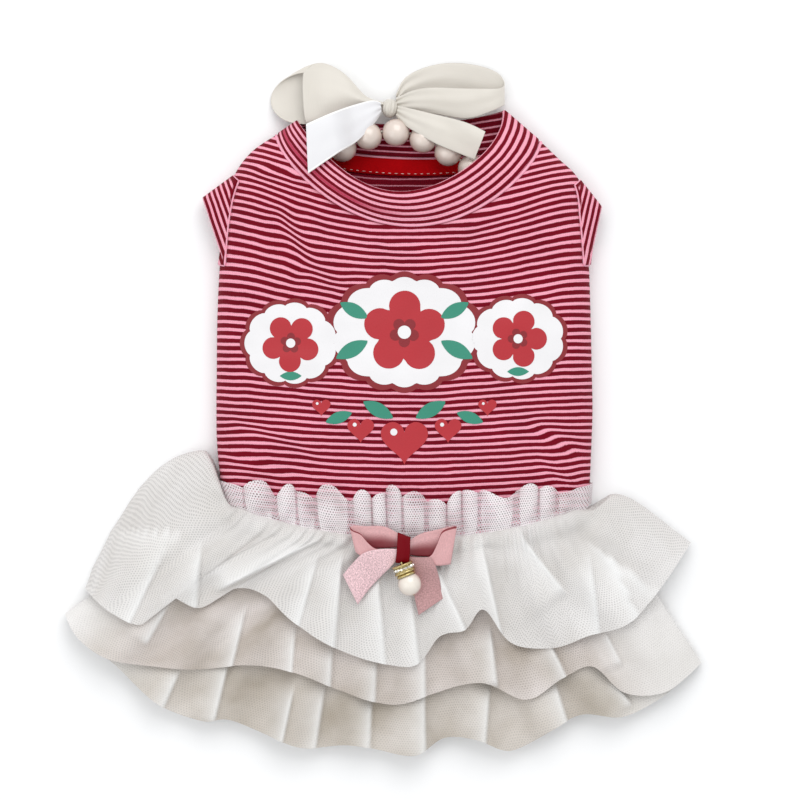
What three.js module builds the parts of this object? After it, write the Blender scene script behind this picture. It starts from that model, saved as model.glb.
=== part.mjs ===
// Small dog's dress, laid flat with its printed front up. Millimetres, +Z up, +Y towards the neck.
import * as THREE from 'three';

// Driving sizes
const BODICE_LENGTH = 167; // waist seam to the corners of the neck seam
const HALF_CHEST = 85.5; // half of the flat chest width
const CHEST_DEPTH = 18; // height of the flattened tube above the table
const JERSEY_WALL = 1.2;
const NET_WALL = 1.2;
const RIBBON_WALL = 1.0;
const SIDE_FOLD = { front: 16, back: 8 }; // how far the side folds round off, above and below
const COLLAR_WALL = 2.2; // jersey folded double
const SKIRT_HALF_WIDTH = 146.5;
const SKIRT_DROP = 117.3; // waist line down to the lowest hem
const FOLD_HEIGHT = 6; // rise of the net folds at the hem
const LAYER_PITCH = 1.65; // one net layer resting on the next, under the dress
const RUFFLE_HEIGHT = 20; // gathered heading at the centre front
const RUFFLE_WAVE = 3.4;
const RUFFLE_FOLDS = 16; // across the front
const PEARL_DIAMETER = 12.7;
const PEARL_HOLE = 2.0;
const PEARL_COUNT = 7;
const THREAD_DIAMETER = 0.9;
const NECK_BOW_SPAN = 107; // across both loops
const NECK_KNOT = { width: 8.6, length: 7.2, height: 10.6 };
const WAIST_BOW_SPAN = 47;
const WAIST_BAND = { width: 6.0, length: 12.4, height: 7.6 };
const SEAT_GAP = 0.35; // air between a piece and what it lies on
const DROP_PEARL_DIAMETER = 10.8;
const RONDELLE_DIAMETER = 10.6;
const RONDELLE_LENGTH = 4.4;
const PIN_DIAMETER = 1.0;

// Rows of named columns
function table(names, rows) {
  return rows.map((row) => Object.fromEntries(names.map((name, k) => [name, row[k]])));
}

// Bodice from the waist seam (first row) to the neck seam (last row). left and right are shares of the
// half chest; side, front and back are heights up the dress in shares of its length, at the side folds
// and on the centre line; depth is a share of the chest depth; curve shapes the sag between them.
const BODICE_ROWS = table(
  ['left', 'right', 'tilt', 'side', 'front', 'back', 'depth', 'curve', 'rest'],
  [
    [-0.950, 1.012, -0.004, -0.010, -0.113, -0.014, 0.84, 0.78, 1.8],
    [-0.979, 1.024, -0.008, 0.140, 0.070, 0.130, 0.92, 0.80, 1.8],
    [-0.984, 1.032, -0.006, 0.250, 0.190, 0.230, 0.96, 0.90, 0.3],
    [-0.982, 1.028, 0.000, 0.358, 0.305, 0.340, 1.00, 1.00, 0],
    [-0.979, 1.022, 0.000, 0.496, 0.430, 0.470, 1.02, 1.00, 0],
    [-0.965, 1.012, 0.000, 0.650, 0.545, 0.600, 1.04, 1.00, 0],
    [-0.940, 0.992, -0.004, 0.785, 0.625, 0.710, 1.06, 1.00, 0],
    [-0.890, 0.962, -0.006, 0.885, 0.680, 0.800, 1.08, 0.85, 0],
    [-0.796, 0.845, -0.008, 0.950, 0.718, 0.872, 1.10, 0.72, 0],
    [-0.662, 0.753, -0.009, 0.996, 0.754, 0.944, 1.14, 0.64, 0],
  ],
);
const ARMHOLE = { bottom: 5, top: 7, front: 0.016, back: 0.016 };

// Collar rim: left and right are shares of the half chest, the four heights up the dress are shares of
// its length, rises are shares of the chest depth, and folds are shares of the rim's width
const RIM = {
  left: -0.547, right: 0.554, sideLeft: 1.043, sideRight: 1.073, front: 0.8455, back: 1.0395,
  sideRise: 0.5, frontRise: 1.333, frontFold: 0.234, backFold: 0.149, curveLeft: 0.85, curveRight: 0.5,
};

// Sleeve hems, shares of the half chest and of the bodice length
const SLEEVE_HEMS = table(
  ['side', 'tipX', 'tipY', 'lowX', 'lowY'],
  [
    ['left', -1.062, 0.832, -0.962, 0.686],
    ['right', 1.084, 0.808, 1.034, 0.696],
  ],
);
const SLEEVE_HEM_DEPTH = CHEST_DEPTH * 0.5;

// Hems of the three net tiers. at runs along the waist from the left fold to the right fold,
// x is a share of the half skirt width, down a share of the skirt drop.
const UPPER_HEM = table(['at', 'x', 'down'], [
  [0.00, -0.992, 0.345], [0.07, -0.904, 0.439], [0.13, -0.804, 0.482], [0.18, -0.738, 0.365],
  [0.24, -0.628, 0.420], [0.30, -0.515, 0.343], [0.36, -0.421, 0.372], [0.42, -0.330, 0.478],
  [0.49, -0.165, 0.596], [0.56, 0.035, 0.645], [0.62, 0.125, 0.530], [0.67, 0.205, 0.500],
  [0.71, 0.262, 0.425], [0.76, 0.345, 0.553], [0.82, 0.465, 0.578], [0.88, 0.590, 0.529],
  [0.94, 0.740, 0.455], [1.00, 0.917, 0.169],
]);
const MIDDLE_HEM = table(['at', 'x', 'down'], [
  [0.00, -1.055, 0.447], [0.06, -1.005, 0.549], [0.12, -0.905, 0.625], [0.20, -0.745, 0.655],
  [0.28, -0.612, 0.662], [0.35, -0.480, 0.645], [0.42, -0.320, 0.678], [0.48, -0.188, 0.745],
  [0.54, -0.030, 0.800], [0.60, 0.095, 0.761], [0.67, 0.250, 0.712], [0.74, 0.395, 0.780],
  [0.80, 0.515, 0.692], [0.86, 0.605, 0.652], [0.91, 0.705, 0.755], [0.96, 0.830, 0.752],
  [1.00, 0.951, 0.643],
]);
const LOWER_HEM = table(['at', 'x', 'down'], [
  [0.00, -0.975, 0.575], [0.05, -0.900, 0.640], [0.10, -0.828, 0.730], [0.17, -0.730, 0.822],
  [0.24, -0.619, 0.867], [0.29, -0.540, 0.862], [0.36, -0.425, 0.918], [0.43, -0.300, 0.973],
  [0.49, -0.150, 0.962], [0.56, 0.038, 1.000], [0.62, 0.140, 0.935], [0.67, 0.240, 0.940],
  [0.73, 0.350, 0.984], [0.79, 0.480, 0.900], [0.84, 0.575, 0.842], [0.90, 0.700, 0.850],
  [0.95, 0.805, 0.790], [1.00, 0.905, 0.690],
]);
// The net puffs out beside the waist: sideways and upward swell in millimetres at the two side folds
const TIERS = table(
  ['name', 'hem', 'backDown', 'lift', 'root', 'under', 'swellLeftX', 'swellLeftY', 'swellRightX', 'swellRightY'],
  [
    ['skirt_tier_upper', UPPER_HEM, 0.50, 6.6, 0.45, 0, -13, 24, 6, 9],
    ['skirt_tier_middle', MIDDLE_HEM, 0.66, 3.3, -1.95, 1, 0, 2, 5, 2],
    ['skirt_tier_lower', LOWER_HEM, 0.88, 0, -4.2, 2, -1, 1, 0, 0],
  ],
);
const SWELL_SPAN = 0.04; // share of the waist over which the swell dies out
const SEAM_DROP = 0.9; // the net starts this far below the bodice's edge
// Radiating folds of the net: direction in degrees from straight down, half width, share of the fold height
const FOLDS = table(['angle', 'spread', 'rise'], [
  [-53, 3.6, 0.70], [-45, 3.0, 0.95], [-37, 3.0, 0.80], [-28, 3.2, 0.65], [-17, 3.4, 0.95],
  [-7, 3.0, 0.70], [2, 3.4, 1.00], [13, 3.2, 0.90], [22, 3.0, 0.80], [31, 3.4, 0.75],
  [41, 3.6, 0.90], [52, 3.6, 0.70],
]);
const FAN_CENTRE_Y = 60;

function lerp(a, b, t) {
  return a + (b - a) * t;
}

function clamp(x, low, high) {
  return Math.min(high, Math.max(low, x));
}

function smooth(x) {
  const t = clamp(x, 0, 1);
  return t * t * (3 - 2 * t);
}

// Rise of a soft side fold: a quarter of an ellipse, then level
function quarter(q) {
  return q >= 1 ? 1 : Math.sqrt(1 - (1 - q) * (1 - q));
}

function spline(p0, p1, p2, p3, t) {
  return 0.5 * (2 * p1 + (p2 - p0) * t + (2 * p0 - 5 * p1 + 4 * p2 - p3) * t * t
    + (3 * p1 - p0 - 3 * p2 + p3) * t * t * t);
}

// A row between two rows of a table, by its index
function rowAt(rows, index) {
  const i = clamp(Math.floor(index), 0, rows.length - 2);
  const out = {};
  for (const name of Object.keys(rows[0])) {
    const p = [i - 1, i, i + 1, i + 2].map((k) => rows[clamp(k, 0, rows.length - 1)][name]);
    out[name] = spline(...p, index - i);
  }
  return out;
}

function hemAt(hem, at) {
  let i = 0;
  while (i < hem.length - 2 && hem[i + 1].at < at) i += 1;
  return rowAt(hem, i + (at - hem[i].at) / (hem[i + 1].at - hem[i].at));
}

// One closed wall from a grid of middle points; closed rings join their last column to the first
function shell(grid, wall, { ring = false, flip = false, hole = () => false } = {}) {
  const rows = grid.length;
  const cols = grid[0].length;
  const column = (j) => (ring ? (j + cols) % cols : clamp(j, 0, cols - 1));
  const outer = [];
  const inner = [];
  for (let i = 0; i < rows; i += 1) {
    for (let j = 0; j < cols; j += 1) {
      const across = grid[i][column(j + 1)].clone().sub(grid[i][column(j - 1)]);
      const along = grid[Math.min(i + 1, rows - 1)][j].clone().sub(grid[Math.max(i - 1, 0)][j]);
      const normal = across.cross(along).normalize().multiplyScalar((flip ? -wall : wall) / 2);
      outer.push(grid[i][j].clone().add(normal));
      inner.push(grid[i][j].clone().sub(normal));
    }
  }
  const count = rows * cols;
  const faces = [];
  const lastCell = ring ? cols : cols - 1;
  for (let i = 0; i < rows - 1; i += 1) {
    for (let j = 0; j < lastCell; j += 1) {
      if (hole(i, j)) continue;
      const a = i * cols + j;
      const b = i * cols + column(j + 1);
      const c = (i + 1) * cols + column(j + 1);
      const d = (i + 1) * cols + j;
      faces.push(flip ? [a, c, b] : [a, b, c], flip ? [a, d, c] : [a, c, d]);
    }
  }
  const directed = new Set(faces.flatMap(([a, b, c]) => [`${a},${b}`, `${b},${c}`, `${c},${a}`]));
  const triangles = [...faces, ...faces.map(([a, b, c]) => [a + count, c + count, b + count])];
  for (const [a, b, c] of faces) {
    for (const [p, q] of [[a, b], [b, c], [c, a]]) {
      if (directed.has(`${q},${p}`)) continue;
      triangles.push([q, p, p + count], [q, p + count, q + count]);
    }
  }
  return { points: [...outer, ...inner], triangles };
}

// A closed solid from rings of equal count, capped at both ends
function loft(rings) {
  const n = rings[0].length;
  const points = rings.flat();
  const triangles = [];
  for (let i = 0; i < rings.length - 1; i += 1) {
    for (let j = 0; j < n; j += 1) {
      const a = i * n + j;
      const b = i * n + ((j + 1) % n);
      triangles.push([a, b, b + n], [a, b + n, a + n]);
    }
  }
  for (const [start, out] of [[0, false], [(rings.length - 1) * n, true]]) {
    const middle = points.length;
    const centre = new THREE.Vector3();
    for (let j = 0; j < n; j += 1) centre.addScaledVector(points[start + j], 1 / n);
    points.push(centre);
    for (let j = 0; j < n; j += 1) {
      const a = start + j;
      const b = start + ((j + 1) % n);
      triangles.push(out ? [a, b, middle] : [b, a, middle]);
    }
  }
  return { points, triangles };
}

function signedVolume({ points, triangles }) {
  let volume = 0;
  for (const [a, b, c] of triangles) volume += points[a].dot(points[b].clone().cross(points[c])) / 6;
  return volume;
}

const solids = [];

function addPiece(name, colour, roughness, solid) {
  const { points } = solid;
  let { triangles } = solid;
  if (signedVolume(solid) < 0) triangles = triangles.map(([a, b, c]) => [a, c, b]);
  const geometry = new THREE.BufferGeometry();
  geometry.setAttribute('position', new THREE.Float32BufferAttribute(points.flatMap((p) => [p.x, p.y, p.z]), 3));
  geometry.setIndex(triangles.flat());
  geometry.computeVertexNormals();
  const mesh = new THREE.Mesh(geometry, new THREE.MeshStandardMaterial({ color: colour, roughness }));
  mesh.name = name;
  solids.push(mesh);
  return mesh;
}

// Highest point of a piece under a round patch, for what lies on it
function topOver(mesh, x, y, reach) {
  const ray = new THREE.Raycaster();
  let top = 0;
  for (const [dx, dy] of [[0, 0], [1, 0], [-1, 0], [0, 1], [0, -1], [0.7, 0.7], [-0.7, 0.7], [0.7, -0.7], [-0.7, -0.7]]) {
    ray.set(new THREE.Vector3(x + dx * reach, y + dy * reach, 100), new THREE.Vector3(0, 0, -1));
    const hit = ray.intersectObject(mesh)[0];
    if (hit) top = Math.max(top, hit.point.z);
  }
  return top;
}

// Columns of a flattened ring: shares across the front from left to right, then back underneath
function ringColumns(front, back) {
  const top = front.map((at) => ({ at, front: true }));
  const under = back.map((at) => ({ at, front: false })).reverse();
  return [...top, ...under];
}

function evenly(from, to, count) {
  return Array.from({ length: count }, (_, k) => lerp(from, to, k / (count - 1)));
}

// Height of a flattened tube's middle surface across its width
function tubeHeight(at, width, bottom, top, front) {
  const reach = Math.min(at, 1 - at) * width;
  const fold = bottom + 0.28 * (top - bottom);
  if (front) return fold + (top - fold) * quarter(reach / SIDE_FOLD.front);
  return fold - (fold - bottom) * quarter(reach / SIDE_FOLD.back);
}

function bodicePoint(at, front, index) {
  const row = rowAt(BODICE_ROWS, index);
  const left = row.left * HALF_CHEST;
  const right = row.right * HALF_CHEST;
  const sag = Math.sin(Math.PI * clamp(at, 0, 1)) ** row.curve;
  const centre = front ? row.front : row.back;
  const height = row.side + row.tilt * (2 * at - 1) + (centre - row.side) * sag;
  const bottom = JERSEY_WALL / 2 + Math.max(0, row.rest);
  const top = row.depth * CHEST_DEPTH - JERSEY_WALL / 2;
  return new THREE.Vector3(
    lerp(left, right, at),
    height * BODICE_LENGTH,
    tubeHeight(at, right - left, bottom, top, front),
  );
}

// The bodice surface's outward direction
function bodiceNormal(at, front, index) {
  const step = 0.004;
  const turn = front ? 1 : -1;
  const low = clamp(at - step, 0, 1);
  const high = clamp(at + step, 0, 1);
  const end = BODICE_ROWS.length - 1;
  const across = bodicePoint(high, front, index).sub(bodicePoint(low, front, index)).multiplyScalar(turn);
  const along = bodicePoint(at, front, Math.min(index + 0.05, end)).sub(bodicePoint(at, front, Math.max(index - 0.05, 0)));
  if (at < 0.0005) return new THREE.Vector3(-1, 0, 0);
  if (at > 0.9995) return new THREE.Vector3(1, 0, 0);
  return across.cross(along).normalize();
}

// Bodice
const HOLE_STEPS = [0, 0.006, ARMHOLE.front];
const bodiceFront = [
  ...HOLE_STEPS, 0.045, 0.09, ...evenly(0.15, 0.85, 11), 0.91, 0.955,
  ...HOLE_STEPS.map((share) => 1 - share).reverse(),
];
const bodiceBack = [
  0.006, ARMHOLE.back, 0.045, 0.1, ...evenly(0.19, 0.81, 7), 0.9, 0.955, 1 - ARMHOLE.back, 1 - 0.006,
];
const bodiceColumns = ringColumns(bodiceFront, bodiceBack);
const bodiceIndex = [0, 1, 2, 3, 4, 5, 5.5, 6, 6.5, 7, 8, 9];
const bodiceGrid = bodiceIndex.map((index) => bodiceColumns.map((c) => bodicePoint(c.at, c.front, index)));
const sideReach = 2; // columns each way from a side fold that the armhole takes
const rightFold = bodiceFront.length - 1;

function inArmhole(i, j) {
  const index = bodiceIndex[i];
  if (index < ARMHOLE.bottom || index >= ARMHOLE.top) return false;
  const n = bodiceColumns.length;
  const fromLeft = Math.min(j, n - j);
  const nearLeft = j < sideReach || j >= n - sideReach;
  const nearRight = j >= rightFold - sideReach && j < rightFold + sideReach;
  return (nearLeft && fromLeft <= sideReach) || nearRight;
}
addPiece('bodice', 0xc4607a, 0.85, shell(bodiceGrid, JERSEY_WALL, { ring: true, hole: inArmhole }));

// Sleeves: each stands on the rim of its armhole and narrows to a flattened hem
function armholeLoop(side) {
  const n = bodiceColumns.length;
  const fold = side === 'left' ? 0 : rightFold;
  const turn = side === 'left' ? 1 : -1;
  const rows = bodiceIndex.map((v, i) => i).filter((i) => bodiceIndex[i] >= ARMHOLE.bottom && bodiceIndex[i] <= ARMHOLE.top);
  const last = rows.length - 1;
  const places = [
    ...rows.map((i) => [i, sideReach]),
    ...[1, 0, -1].map((k) => [rows[last], k]),
    ...[...rows].reverse().map((i) => [i, -sideReach]),
    ...[-1, 0, 1].map((k) => [rows[0], k]),
  ];
  return places.map(([i, k]) => {
    const j = (fold + turn * k + n) % n;
    const c = bodiceColumns[j];
    const out = bodiceNormal(c.at, c.front, bodiceIndex[i]);
    return bodiceGrid[i][j].clone().addScaledVector(out, JERSEY_WALL / 2 + 0.8);
  });
}

function addSleeve(hem) {
  const root = armholeLoop(hem.side);
  const box = new THREE.Box3().setFromPoints(root);
  const middle = box.getCenter(new THREE.Vector3());
  const half = box.getSize(new THREE.Vector3()).multiplyScalar(0.5);
  const tip = new THREE.Vector3(hem.tipX * HALF_CHEST, hem.tipY * BODICE_LENGTH, 0);
  const low = new THREE.Vector3(hem.lowX * HALF_CHEST, hem.lowY * BODICE_LENGTH, 0);
  const hemMiddle = tip.clone().add(low).multiplyScalar(0.5).setZ(SLEEVE_HEM_DEPTH / 2 + 0.8);
  const reach = tip.clone().sub(low).multiplyScalar(0.5);
  const end = root.map((p) => {
    const along = (p.y - middle.y) / half.y;
    const up = (p.z - middle.z) / half.z;
    const ease = quarter(clamp((1 - Math.abs(along)) / 0.35, 0, 1));
    const rise = Math.sign(up) * Math.min(Math.abs(up) ** 0.7, Math.max(ease, 0.25));
    return hemMiddle.clone().addScaledVector(reach, along).add(new THREE.Vector3(0, 0, rise * (SLEEVE_HEM_DEPTH / 2)));
  });
  const grid = [0, 0.35, 0.7, 1].map((t) => root.map((p, k) => {
    const point = p.clone().lerp(end[k], t);
    point.z = Math.max(point.z, JERSEY_WALL / 2 + 0.05);
    return point;
  }));
  addPiece(`sleeve_${hem.side}`, 0xc4607a, 0.85, shell(grid, JERSEY_WALL, { ring: true, flip: hem.side === 'left' }));
}
SLEEVE_HEMS.forEach(addSleeve);

// Collar: from the neck seam up to its rim, which leans back over the far side
function rimPoint(at, front) {
  const side = lerp(RIM.sideLeft, RIM.sideRight, at);
  const sag = Math.sin(Math.PI * at) ** (front ? lerp(RIM.curveLeft, RIM.curveRight, at) : 1);
  const reach = Math.min(at, 1 - at);
  const fold = RIM.sideRise * CHEST_DEPTH;
  const height = front
    ? fold + (RIM.frontRise * CHEST_DEPTH - fold) * quarter(reach / RIM.frontFold)
    : fold - (fold - COLLAR_WALL) * quarter(reach / RIM.backFold);
  return new THREE.Vector3(
    lerp(RIM.left, RIM.right, at) * HALF_CHEST,
    lerp(side, front ? RIM.front : RIM.back, sag) * BODICE_LENGTH,
    height,
  );
}
const neckIndex = BODICE_ROWS.length - 1;
const collarFront = [0, 0.02, 0.06, ...evenly(0.12, 0.88, 15), 0.94, 0.98, 1];
const collarBack = [0.02, 0.06, ...evenly(0.14, 0.86, 11), 0.94, 0.98];
const collarColumns = ringColumns(collarFront, collarBack);
const collarSeamGap = 0.9;
const collarGrid = [0, 0.5, 1].map((t) => collarColumns.map((c) => {
  const seam = bodicePoint(c.at, c.front, neckIndex);
  seam.z = Math.max(seam.z, COLLAR_WALL / 2 + 0.02);
  const rim = rimPoint(c.at, c.front);
  const start = seam.clone().add(rim.clone().sub(seam).setLength(collarSeamGap));
  const point = start.lerp(rim, t);
  if (c.front) point.z += 1.2 * Math.sin(Math.PI * t) * Math.sin(Math.PI * c.at);
  point.z = Math.max(point.z, COLLAR_WALL / 2 + 0.02);
  return point;
}));
addPiece('collar', 0xb8506a, 0.85, shell(collarGrid, COLLAR_WALL, { ring: true }));

// Tape inside the back of the neck
const tapeWall = 0.9;
const tapeGrid = [8.3, 8.62, 8.94].map((index) => evenly(0.9, 0.1, 17).map((at) => {
  const inward = bodiceNormal(at, false, index).multiplyScalar(-(JERSEY_WALL / 2 + 0.3 + tapeWall / 2));
  return bodicePoint(at, false, index).add(inward);
}));
addPiece('neck_tape', 0x8d2730, 0.8, shell(tapeGrid, tapeWall));

// Skirt
const waistPoint = (at, front) => bodicePoint(at, front, 0);

function foldRise(x, y) {
  const angle = THREE.MathUtils.radToDeg(Math.atan2(x, FAN_CENTRE_Y - y));
  const reach = Math.hypot(x, FAN_CENTRE_Y - y);
  const grow = smooth((reach - 62) / 85);
  const bump = FOLDS.reduce((sum, fold) => sum + fold.rise * Math.exp(-(((angle - fold.angle) / fold.spread) ** 2)), 0);
  return FOLD_HEIGHT * grow * bump;
}

// Hem of a tier in plan: the front follows its table, the back a plain curve between the same two folds
function hemPoint(tier, at, front) {
  const hem = hemAt(tier.hem, at);
  if (front) return new THREE.Vector3(hem.x * SKIRT_HALF_WIDTH, -hem.down * SKIRT_DROP, 0);
  const left = tier.hem[0];
  const right = tier.hem[tier.hem.length - 1];
  const down = lerp(lerp(left.down, right.down, at), tier.backDown, Math.sin(Math.PI * at) ** 0.8);
  return new THREE.Vector3(lerp(left.x, right.x, at) * SKIRT_HALF_WIDTH, -down * SKIRT_DROP, 0);
}

// A tier in plan: from the waist out to its hem, with the side swell
function tierPlan(tier, at, front, t) {
  const root = waistPoint(at, front);
  root.y -= SEAM_DROP * (1 + tier.under);
  root.x *= 1 + tier.root / HALF_CHEST;
  const point = root.clone().lerp(hemPoint(tier, at, front), t);
  const left = 1 - smooth(at / SWELL_SPAN);
  const right = 1 - smooth((1 - at) / SWELL_SPAN);
  const swellX = Math.sin(Math.PI * t ** 0.32);
  const swellY = Math.sin(Math.PI * Math.sqrt(t)) * smooth(t / 0.1);
  point.x += swellX * (left * tier.swellLeftX + right * tier.swellRightX);
  point.y += swellY * (left * tier.swellLeftY + right * tier.swellRightY);
  return point;
}

function hemReach(tier, at) {
  return hemPoint(tier, at, false).distanceTo(waistPoint(at, false).setZ(0));
}

function underHeight(tier, at, reach) {
  let height = NET_WALL / 2 + 0.02;
  for (let k = 0; k < tier.under; k += 1) {
    const end = hemReach(TIERS[k], at);
    height += LAYER_PITCH * (1 - smooth((reach - end - 7) / 8));
  }
  return height;
}

function tierPoint(tier, at, front, t) {
  const plan = tierPlan(tier, at, front, t);
  const reach = t * hemReach(tier, at);
  const bottom = underHeight(tier, at, reach);
  const rootTop = BODICE_ROWS[0].depth * CHEST_DEPTH + NET_WALL / 2 + tier.root;
  const away = Math.hypot(plan.x, FAN_CENTRE_Y - plan.y);
  const base = lerp(10.8, 6.4, smooth((away - 80) / 95)) + tier.lift + foldRise(plan.x, plan.y);
  const top = lerp(rootTop, base, smooth(t / 0.3));
  const across = Math.min(at, 1 - at);
  const fold = bottom + 0.3 * (top - bottom) * (1 - 0.5 * t);
  const height = front ? fold + (top - fold) * quarter(across / 0.085) : fold - (fold - bottom) * quarter(across / 0.05);
  return new THREE.Vector3(plan.x, plan.y, height);
}
const tierFront = [0, 0.006, 0.018, 0.034, ...evenly(0.06, 0.94, 33), 0.966, 0.982, 0.994, 1];
const tierBack = [0.006, 0.018, 0.04, 0.08, ...evenly(0.16, 0.84, 8), 0.92, 0.96, 0.982, 0.994];
const tierColumns = ringColumns(tierFront, tierBack);
const tierMeshes = TIERS.map((tier) => {
  const steps = tier.under === 0 ? [0, 0.03, 0.1, 0.24, 0.42, 0.61, 0.8, 1] : [0, 0.12, 0.28, 0.46, 0.64, 0.83, 1];
  const grid = steps.map((t) => tierColumns.map((c) => tierPoint(tier, c.at, c.front, t)));
  return addPiece(tier.name, 0xf0efed, 0.9, shell(grid, NET_WALL, { ring: true, flip: true }));
});

// Gathered heading: stands over the bodice's lower edge, waved away from it
const ruffleColumns = ringColumns(
  [0, 0.01, ...evenly(0.035, 0.965, RUFFLE_FOLDS * 4 + 1), 0.99, 1],
  [0.01, 0.04, ...evenly(0.12, 0.88, 9), 0.96, 0.99],
);
const ruffleGrid = [0, 0.5, 1].map((t) => ruffleColumns.map((c) => {
  const full = c.front ? lerp(0.46, 0.64, Math.sin(Math.PI * c.at)) : lerp(0.46, 0.5, Math.sin(Math.PI * c.at));
  const wave = c.front ? 0.5 - 0.5 * Math.cos(2 * Math.PI * RUFFLE_FOLDS * ((c.at - 0.035) / 0.93)) : 0;
  const inFront = c.at > 0.035 && c.at < 0.965 ? wave : 0;
  const index = 0.03 + t * full * (1 + 0.12 * inFront) * (RUFFLE_HEIGHT / 20);
  const away = JERSEY_WALL / 2 + NET_WALL / 2 + 0.45 + RUFFLE_WAVE * inFront * smooth(t * 1.4) + (c.front ? 0.3 * t : 0);
  const point = bodicePoint(c.at, c.front, index).addScaledVector(bodiceNormal(c.at, c.front, index), away);
  point.z = Math.max(point.z, NET_WALL / 2 + 0.02);
  return point;
}));
const ruffle = addPiece('waist_ruffle', 0xf3e9ec, 0.9, shell(ruffleGrid, NET_WALL, { ring: true }));

// Ribbon loop: a flattened ring of ribbon that runs out from the knot and back
function ribbonLoop(spec) {
  const root = new THREE.Vector3(...spec.root);
  const axis = new THREE.Vector3(...spec.tip).sub(root);
  const across = new THREE.Vector3(-axis.y, axis.x, 0).normalize();
  const turns = 14;
  return shell([-1, 0, 1].map((w) => Array.from({ length: turns }, (_, k) => {
    const turn = (2 * Math.PI * k) / turns;
    const out = (1 - Math.cos(turn)) / 2;
    const width = rowAt(spec.widths.map((share) => ({ share })), out * (spec.widths.length - 1)).share * spec.width;
    const height = lerp(spec.rootHeight, spec.tipHeight, smooth(out * 1.3));
    return root.clone().addScaledVector(axis, out).addScaledVector(across, (w * width) / 2)
      .add(new THREE.Vector3(0, 0, (Math.sin(turn) * height) / 2));
  })), RIBBON_WALL, { ring: true });
}

// Ribbon tail: stations with both edges and a height
function ribbonTail(stations) {
  const grid = stations.map((s) => [0, 0.5, 1].map((w) => new THREE.Vector3(
    lerp(s.edgeX, s.otherX, w),
    lerp(s.edgeY, s.otherY, w),
    s.height,
  )));
  return shell(grid, RIBBON_WALL);
}

// Rounded pad, for a knot wrapped in ribbon
function pad(centre, size, turns = 12) {
  const rings = [-1, -0.8, -0.35, 0.35, 0.8, 1].map((share) => {
    const swell = share === -1 || share === 1 ? 0.62 : Math.abs(share) > 0.5 ? 0.9 : 1;
    return Array.from({ length: turns }, (_, k) => {
      const turn = (2 * Math.PI * k) / turns;
      const cos = Math.sign(Math.cos(turn)) * Math.abs(Math.cos(turn)) ** 0.7;
      const sin = Math.sign(Math.sin(turn)) * Math.abs(Math.sin(turn)) ** 0.7;
      return new THREE.Vector3(centre[0] + (cos * size[0] * swell) / 2, centre[1] + (share * size[1]) / 2,
        centre[2] + (sin * size[2] * swell) / 2);
    });
  });
  return loft(rings);
}

// Bead turned about a line, with the hole that the thread runs through
function bead(centre, direction, diameter, hole, turns, bands) {
  const radius = diameter / 2;
  const start = Math.asin(hole / diameter);
  const profile = Array.from({ length: bands + 1 }, (_, k) => {
    const turn = lerp(start, Math.PI - start, k / bands);
    return [radius * Math.sin(turn), -radius * Math.cos(turn)];
  });
  return turned(centre, direction, [...profile, [hole / 2, profile[0][1] * -0.4], [hole / 2, profile[0][1] * 0.4]], turns);
}

// Closed profile of radius and height, turned about a line
function turned(centre, direction, profile, turns) {
  const axis = new THREE.Vector3(...direction).normalize();
  const spin = new THREE.Quaternion().setFromUnitVectors(new THREE.Vector3(0, 0, 1), axis);
  const n = profile.length;
  const points = [];
  const triangles = [];
  for (let k = 0; k < turns; k += 1) {
    const turn = (2 * Math.PI * k) / turns;
    for (const [r, h] of profile) {
      points.push(new THREE.Vector3(r * Math.cos(turn), r * Math.sin(turn), h).applyQuaternion(spin)
        .add(new THREE.Vector3(...centre)));
    }
    for (let i = 0; i < n; i += 1) {
      const a = k * n + i;
      const b = k * n + ((i + 1) % n);
      const c = ((k + 1) % turns) * n + ((i + 1) % n);
      const d = ((k + 1) % turns) * n + i;
      triangles.push([a, b, c], [a, c, d]);
    }
  }
  return { points, triangles };
}

// Rod through a list of points
function rod(path, diameter, sides) {
  const rings = path.map((p, i) => {
    const along = path[Math.min(i + 1, path.length - 1)].clone().sub(path[Math.max(i - 1, 0)]).normalize();
    const side = new THREE.Vector3(0, 0, 1).cross(along).normalize();
    const up = along.clone().cross(side);
    return Array.from({ length: sides }, (_, k) => {
      const turn = (2 * Math.PI * k) / sides;
      return p.clone().addScaledVector(side, (Math.cos(turn) * diameter) / 2)
        .addScaledVector(up, (Math.sin(turn) * diameter) / 2);
    });
  });
  return loft(rings);
}

// Strand of pearls along the far side of the collar, highest beside the knot
const STRAND = { topX: -0.0433, topY: 1.0192, fall: 0.0555, power: 1.6 };
const STRAND_HEIGHT = PEARL_DIAMETER / 2 + COLLAR_WALL + 1.45;
const PEARL_PITCH = PEARL_DIAMETER + SEAT_GAP;
const strandTop = STRAND.topX * HALF_CHEST;
const strandPoint = (x) => new THREE.Vector3(
  x,
  STRAND.topY * BODICE_LENGTH - STRAND.fall * Math.abs(x - strandTop) ** STRAND.power,
  STRAND_HEIGHT,
);

function marchAlong(startX, step) {
  let x = startX;
  const start = strandPoint(startX);
  while (strandPoint(x).distanceTo(start) < PEARL_PITCH) x += step;
  return strandPoint(x);
}
const firstX = strandTop - PEARL_DIAMETER * 0.37;
const rightKnots = [strandPoint(firstX)];
while (rightKnots.length < 5) rightKnots.push(marchAlong(rightKnots[rightKnots.length - 1].x, 0.02));
const leftKnots = [strandPoint(firstX)];
while (leftKnots.length < PEARL_COUNT - 3) leftKnots.push(marchAlong(leftKnots[leftKnots.length - 1].x, -0.02));
const knots = [...leftKnots.slice(1).reverse(), ...rightKnots];
knots.slice(0, -1).forEach((from, k) => {
  const to = knots[k + 1];
  const centre = from.clone().add(to).multiplyScalar(0.5);
  addPiece(`neck_pearl_${k + 1}`, 0xf2ece6, 0.25,
    bead(centre.toArray(), to.clone().sub(from).toArray(), PEARL_DIAMETER, PEARL_HOLE, 11, 6));
});
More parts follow.
